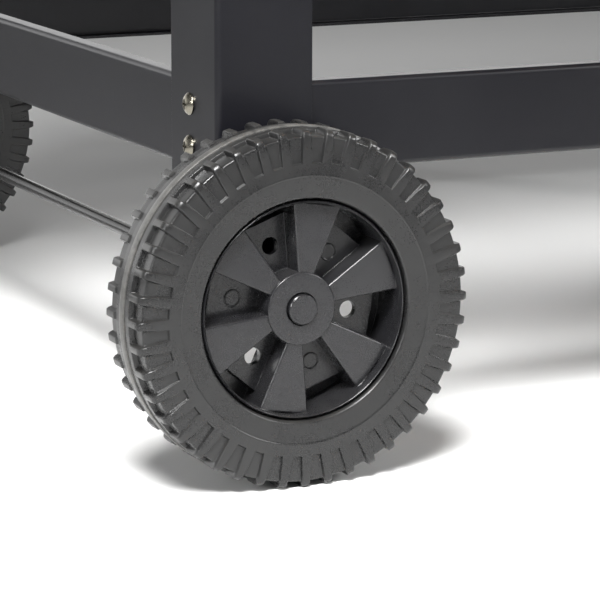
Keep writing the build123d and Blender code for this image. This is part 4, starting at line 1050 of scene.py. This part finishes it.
# ---------------------------------------------------------------- barrels
@dataclass(frozen=True)
class Barrel:
    """A rolled barrel with its hinges and end seams.

    Sizes are in millimetres, and angles run in degrees from the front over the top.
    """

    name: str
    tub: str
    lid_body: str
    radius: float
    axis_z: float
    hinges: tuple[float, float]
    split: float = 130.0
    leaf: float = 3.0
    welded_ends: int = 2

    def point(self, x: float, radius: float, angle: float) -> Vector:
        """Point on the barrel, in the row frame.

        Args:
            x: Place along the barrel, in metres.
            radius: Distance from its axis.
            angle: Angle from the front.

        Returns:
            The point, in metres.
        """
        middle = sum(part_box("axle"), Vector()).y / 2
        turn = math.radians(angle)
        height = (self.axis_z + radius * math.sin(turn)) * MM
        return Vector((x, middle - radius * MM * math.cos(turn), height))

    def outwards(self, angle: float) -> Vector:
        """Outward normal of the barrel at an angle."""
        turn = math.radians(angle)
        return Vector((0, -math.cos(turn), math.sin(turn)))

    def rivets(self) -> None:
        """Rivet both leaves of each hinge."""
        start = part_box("legs_wheel_end")[0].x
        degree = math.degrees(1 / self.radius)
        for on_lid in (True, False):
            sign = -1 if on_lid else 1
            places, facings = [], []
            for hinge in self.hinges:
                for across in (-19.0, 19.0):
                    for along in (13.0, 25.0):
                        x, angle = start + (hinge + across) * MM, self.split + sign * along * degree
                        places.append(self.point(x, self.radius + self.leaf, angle))
                        facings.append(self.outwards(angle))
            part, body = ("lid", self.lid_body) if on_lid else ("tub", "cart")
            Head(3.0, 1.5).scatter(f"{self.name}_{part}_rivets", body, "zinc", places, facings)

    def seams(self) -> None:
        """Weld the end plates to the rolled skin, on the tub and on the lid."""
        low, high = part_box(self.tub)
        ends = (low.x + 0.9 * MM, high.x - 0.9 * MM)[:self.welded_ends]
        steps = 90
        for part, body, first_angle, last_angle in (
            ("lid", self.lid_body, 4.0, self.split - 6.0),
            ("tub", "cart", self.split + 4.0, 356.0),
        ):
            places, edges = [], []
            for x in ends:
                first = len(places)
                for k in range(steps + 1):
                    angle = first_angle + (last_angle - first_angle) * k / steps
                    places.append(self.point(x, self.radius - 0.3, angle))
                edges += [(first + k, first + k + 1) for k in range(steps)]
            mesh = bpy.data.meshes.new("seam")
            mesh.from_pydata([tuple(p) for p in places], edges, [])
            bead = WELD.run(mesh, finish_for("barrel_paint"), Bead_Radius=1.5 * MM, Pitch=2.2 * MM)
            piece = shown(f"{self.name}_{part}_seam", bead)
            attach(piece, body)
            LOG.info("%s: %d faces", piece.name, len(bead.polygons))

    def build(self) -> None:
        """Add what the barrel's CAD leaves out."""
        self.rivets()
        self.seams()


@dataclass(frozen=True)
class Dial:
    """Face and ticks inside the thermometer's case. Sizes in millimetres."""

    tilt: float = 58.0
    face_radius: float = 35.8
    face_depth: Station = (2.3, 2.8)
    ticks: int = 31
    sweep: float = 240.0
    tick_radius: float = 31.5
    tick_size: Station = (3.4, 0.7)

    def frame(self) -> Matrix:
        """Place of the dial: z out of the face, y up its slope."""
        low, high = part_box("thermometer_needle")
        turn = math.radians(self.tilt)
        out = Vector((0, -math.cos(turn), math.sin(turn)))
        up = Vector((0, math.sin(turn), math.cos(turn)))
        origin = (low + high) / 2 - out * 3.6 * MM
        rows = Matrix((Vector((1, 0, 0)), up, out)).transposed().to_4x4()
        return Matrix.Translation(origin) @ rows

    def build(self) -> None:
        """Lay the white face and print the ticks on it."""
        place = self.frame()
        low, high = (d * MM for d in self.face_depth)
        shells = Shells()
        r = self.face_radius * MM
        shells.turned([
            (0.0, low), (r, low), (r, high), (3.4 * MM, high), (3.2 * MM, high + 0.3 * MM),
            (0.0, high + 0.3 * MM),
        ], 72)
        face = shells.mesh("dial_face", 30.0)
        face.transform(Matrix.Rotation(math.pi / 2, 4, "X"))
        face.transform(place)
        face.materials.append(DIAL_WHITE.material())
        base = bpy.data.meshes.new("no_base")
        ticks = TICKS.run(
            base, DIAL_INK.material(), Tick_Count=self.ticks, Long_Every=5,
            Sweep=math.radians(self.sweep), Radius=self.tick_radius * MM,
            Tick_Length=self.tick_size[0] * MM, Tick_Width=self.tick_size[1] * MM,
        )
        ticks.transform(Matrix.Translation((0, 0, high + 0.05 * MM)))
        ticks.transform(place)
        for name, mesh in (("dial_face", face), ("dial_ticks", ticks)):
            piece = shown(name, mesh)
            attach(piece, "cook_lid")
            LOG.info("%s: %d faces", name, len(mesh.polygons))


@dataclass(frozen=True)
class ShelfBolts:
    """Coach bolts that hold the slats to the shelf's arms. Sizes in millimetres."""

    slats: int = 4
    from_edge: float = 25.0
    from_arm_side: float = 3.0
    head: Head = field(default_factory=lambda: Head(6.0, 2.4))

    def build(self) -> None:
        """Set one bolt over each crossing of a slat and an arm."""
        low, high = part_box("shelf_slats")
        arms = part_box("shelf_arms")
        edge, inset = self.from_edge * MM, self.from_arm_side * MM
        pitch = (high.y - low.y - 2 * edge) / (self.slats - 1)
        places = [
            Vector((x, low.y + edge + k * pitch, high.z))
            for x in (arms[0].x + inset, arms[1].x - inset)
            for k in range(self.slats)
        ]
        self.head.scatter("shelf_bolts", "shelf", "zinc", places, [Vector((0, 0, 1))] * len(places))


# ---------------------------------------------------------------- studio
@dataclass(frozen=True)
class Lamp:
    """A square softbox. Sizes in metres."""

    name: str
    place: tuple[float, float, float]
    size: float
    watts: float
    spread: float = 60.0

    def hang(self, aim: Vector) -> None:
        """Hang the softbox facing a point.

        Args:
            aim: The point it faces.
        """
        data = bpy.data.lights.new(self.name, "AREA")
        data.shape, data.size, data.energy = "SQUARE", self.size, self.watts
        data.spread = math.radians(self.spread)
        lamp = bpy.data.objects.new(self.name, data)
        lamp.location = self.place
        lamp.rotation_mode = "QUATERNION"
        lamp.rotation_quaternion = (Vector(self.place) - aim).to_track_quat("Z", "Y")
        lamp.visible_camera = False
        bpy.context.scene.collection.objects.link(lamp)


@dataclass(frozen=True)
class Studio:
    """Pale floor, soft light and the camera. Sizes in metres."""

    eye: tuple[float, float, float] = (-0.8630, -1.6708, 0.4351)
    azimuth: float = -25.24
    elevation: float = 12.04
    roll: float = 0.11
    lens: float = 178.2
    floor_half: float = 60.0
    floor_white: float = 0.84
    sky: float = 0.20
    cove: float = 1.7
    lamps: tuple[Lamp, ...] = (
        Lamp("key", (-1.2, -1.9, 2.75), 1.05, 17.0, 44.0),
        Lamp("low", (-2.9, -1.75, 1.15), 0.6, 2.4, 50.0),
        Lamp("side", (1.95, -2.0, 1.35), 0.5, 2.6, 50.0),
    )

    def camera(self) -> None:
        """Stand the camera at the front left, a little above the wheel."""
        a, e, turn = (math.radians(x) for x in (self.azimuth, self.elevation, self.roll))
        back = Vector((math.sin(a) * math.cos(e), -math.cos(a) * math.cos(e), math.sin(e)))
        right = Vector((math.cos(a), math.sin(a), 0.0))
        up = back.cross(right)
        rolled = math.cos(turn) * right + math.sin(turn) * up
        upright = back.cross(rolled)
        data = bpy.data.cameras.new("camera")
        data.lens, data.sensor_width = self.lens, 36.0
        data.clip_start, data.clip_end = 0.05, 200.0
        camera = bpy.data.objects.new("camera", data)
        turned = Matrix((rolled, upright, back)).transposed().to_4x4()
        camera.matrix_world = Matrix.Translation(self.eye) @ turned
        bpy.context.scene.collection.objects.link(camera)
        bpy.context.scene.camera = camera

    def floor(self) -> None:
        """Lay a wide pale floor."""
        mesh = bpy.data.meshes.new("floor")
        h = self.floor_half
        mesh.from_pydata([(-h, -h, 0), (h, -h, 0), (h, h, 0), (-h, h, 0)], [], [(0, 1, 2, 3)])
        material = bpy.data.materials.new("floor")
        material.use_nodes = True
        shader = material.node_tree.nodes["Principled BSDF"]
        white = self.floor_white
        shader.inputs["Base Color"].default_value = (white, white, white * 0.992, 1)
        shader.inputs["Roughness"].default_value = 0.9
        shader.inputs["Specular IOR Level"].default_value = 0.1
        mesh.materials.append(material)
        shown("floor", mesh)

    def light(self) -> None:
        """Dim sky, a bright low cove behind the smoker, and three softboxes."""
        scene = bpy.context.scene
        scene.view_settings.view_transform = "Standard"
        world = bpy.data.worlds.new("studio")
        scene.world = world
        world.use_nodes = True
        world.node_tree.nodes.clear()
        bench = Bench(world.node_tree)
        where = bench.add("ShaderNodeTexCoord").outputs["Generated"]
        way = bench.add("ShaderNodeSeparateXYZ", {0: where}).outputs
        behind = bench.remap(way["Y"], 0.1, 0.8)
        low = bench.remap(way["Z"], 0.55, 0.15)
        cove = bench.times(bench.times(behind, low), self.cove)
        path = bench.add("ShaderNodeLightPath").outputs
        mirrored = bench.times(cove, bench.calc("SUBTRACT", 1.0, path["Is Diffuse Ray"]))
        strength = bench.calc("MAXIMUM", bench.calc("ADD", mirrored, self.sky), path["Is Camera Ray"])
        sky = bench.add("ShaderNodeBackground", {"Color": (1.0, 1.0, 1.0, 1.0), "Strength": strength})
        bench.add("ShaderNodeOutputWorld", {"Surface": sky.outputs[0]})
        low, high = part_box("near_tyre")
        aim = Vector(((low.x + high.x) / 2, low.y, low.z))
        for lamp in self.lamps:
            lamp.hang(aim)

    def build(self) -> None:
        """Set up camera, floor and light."""
        self.camera()
        self.floor()
        self.light()


def dress(frame: Mapping[str, Any]) -> None:
    """Give every CAD node the finish that the record names for it."""
    for part in frame["record"]["subparts"]:
        node = frame["nodes"][part["node"]]
        material = finish_for(part["material_slot"])
        node.data.materials.clear()
        node.data.materials.append(material)
        LOG.info("%s: %s", part["node"], part["material_slot"])


def main() -> None:
    """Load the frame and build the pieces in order."""
    logging.basicConfig(level=logging.INFO, format="%(name)s %(message)s")
    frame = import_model()
    dress(frame)
    for side in WheelSide:
        Tyre(side).build()
        WheelCentre(side).build()
    Barrel("chamber", "chamber_tub", "cook_lid", radius=210.0, axis_z=760.0, hinges=(140.0, 580.0)).build()
    Barrel("firebox", "firebox_tub", "fire_lid", radius=165.0, axis_z=650.0, hinges=(-285.0, -105.0),
           welded_ends=1).build()
    Dial().build()
    ShelfBolts().build()
    Studio().build()


if __name__ == "__main__":
    main()
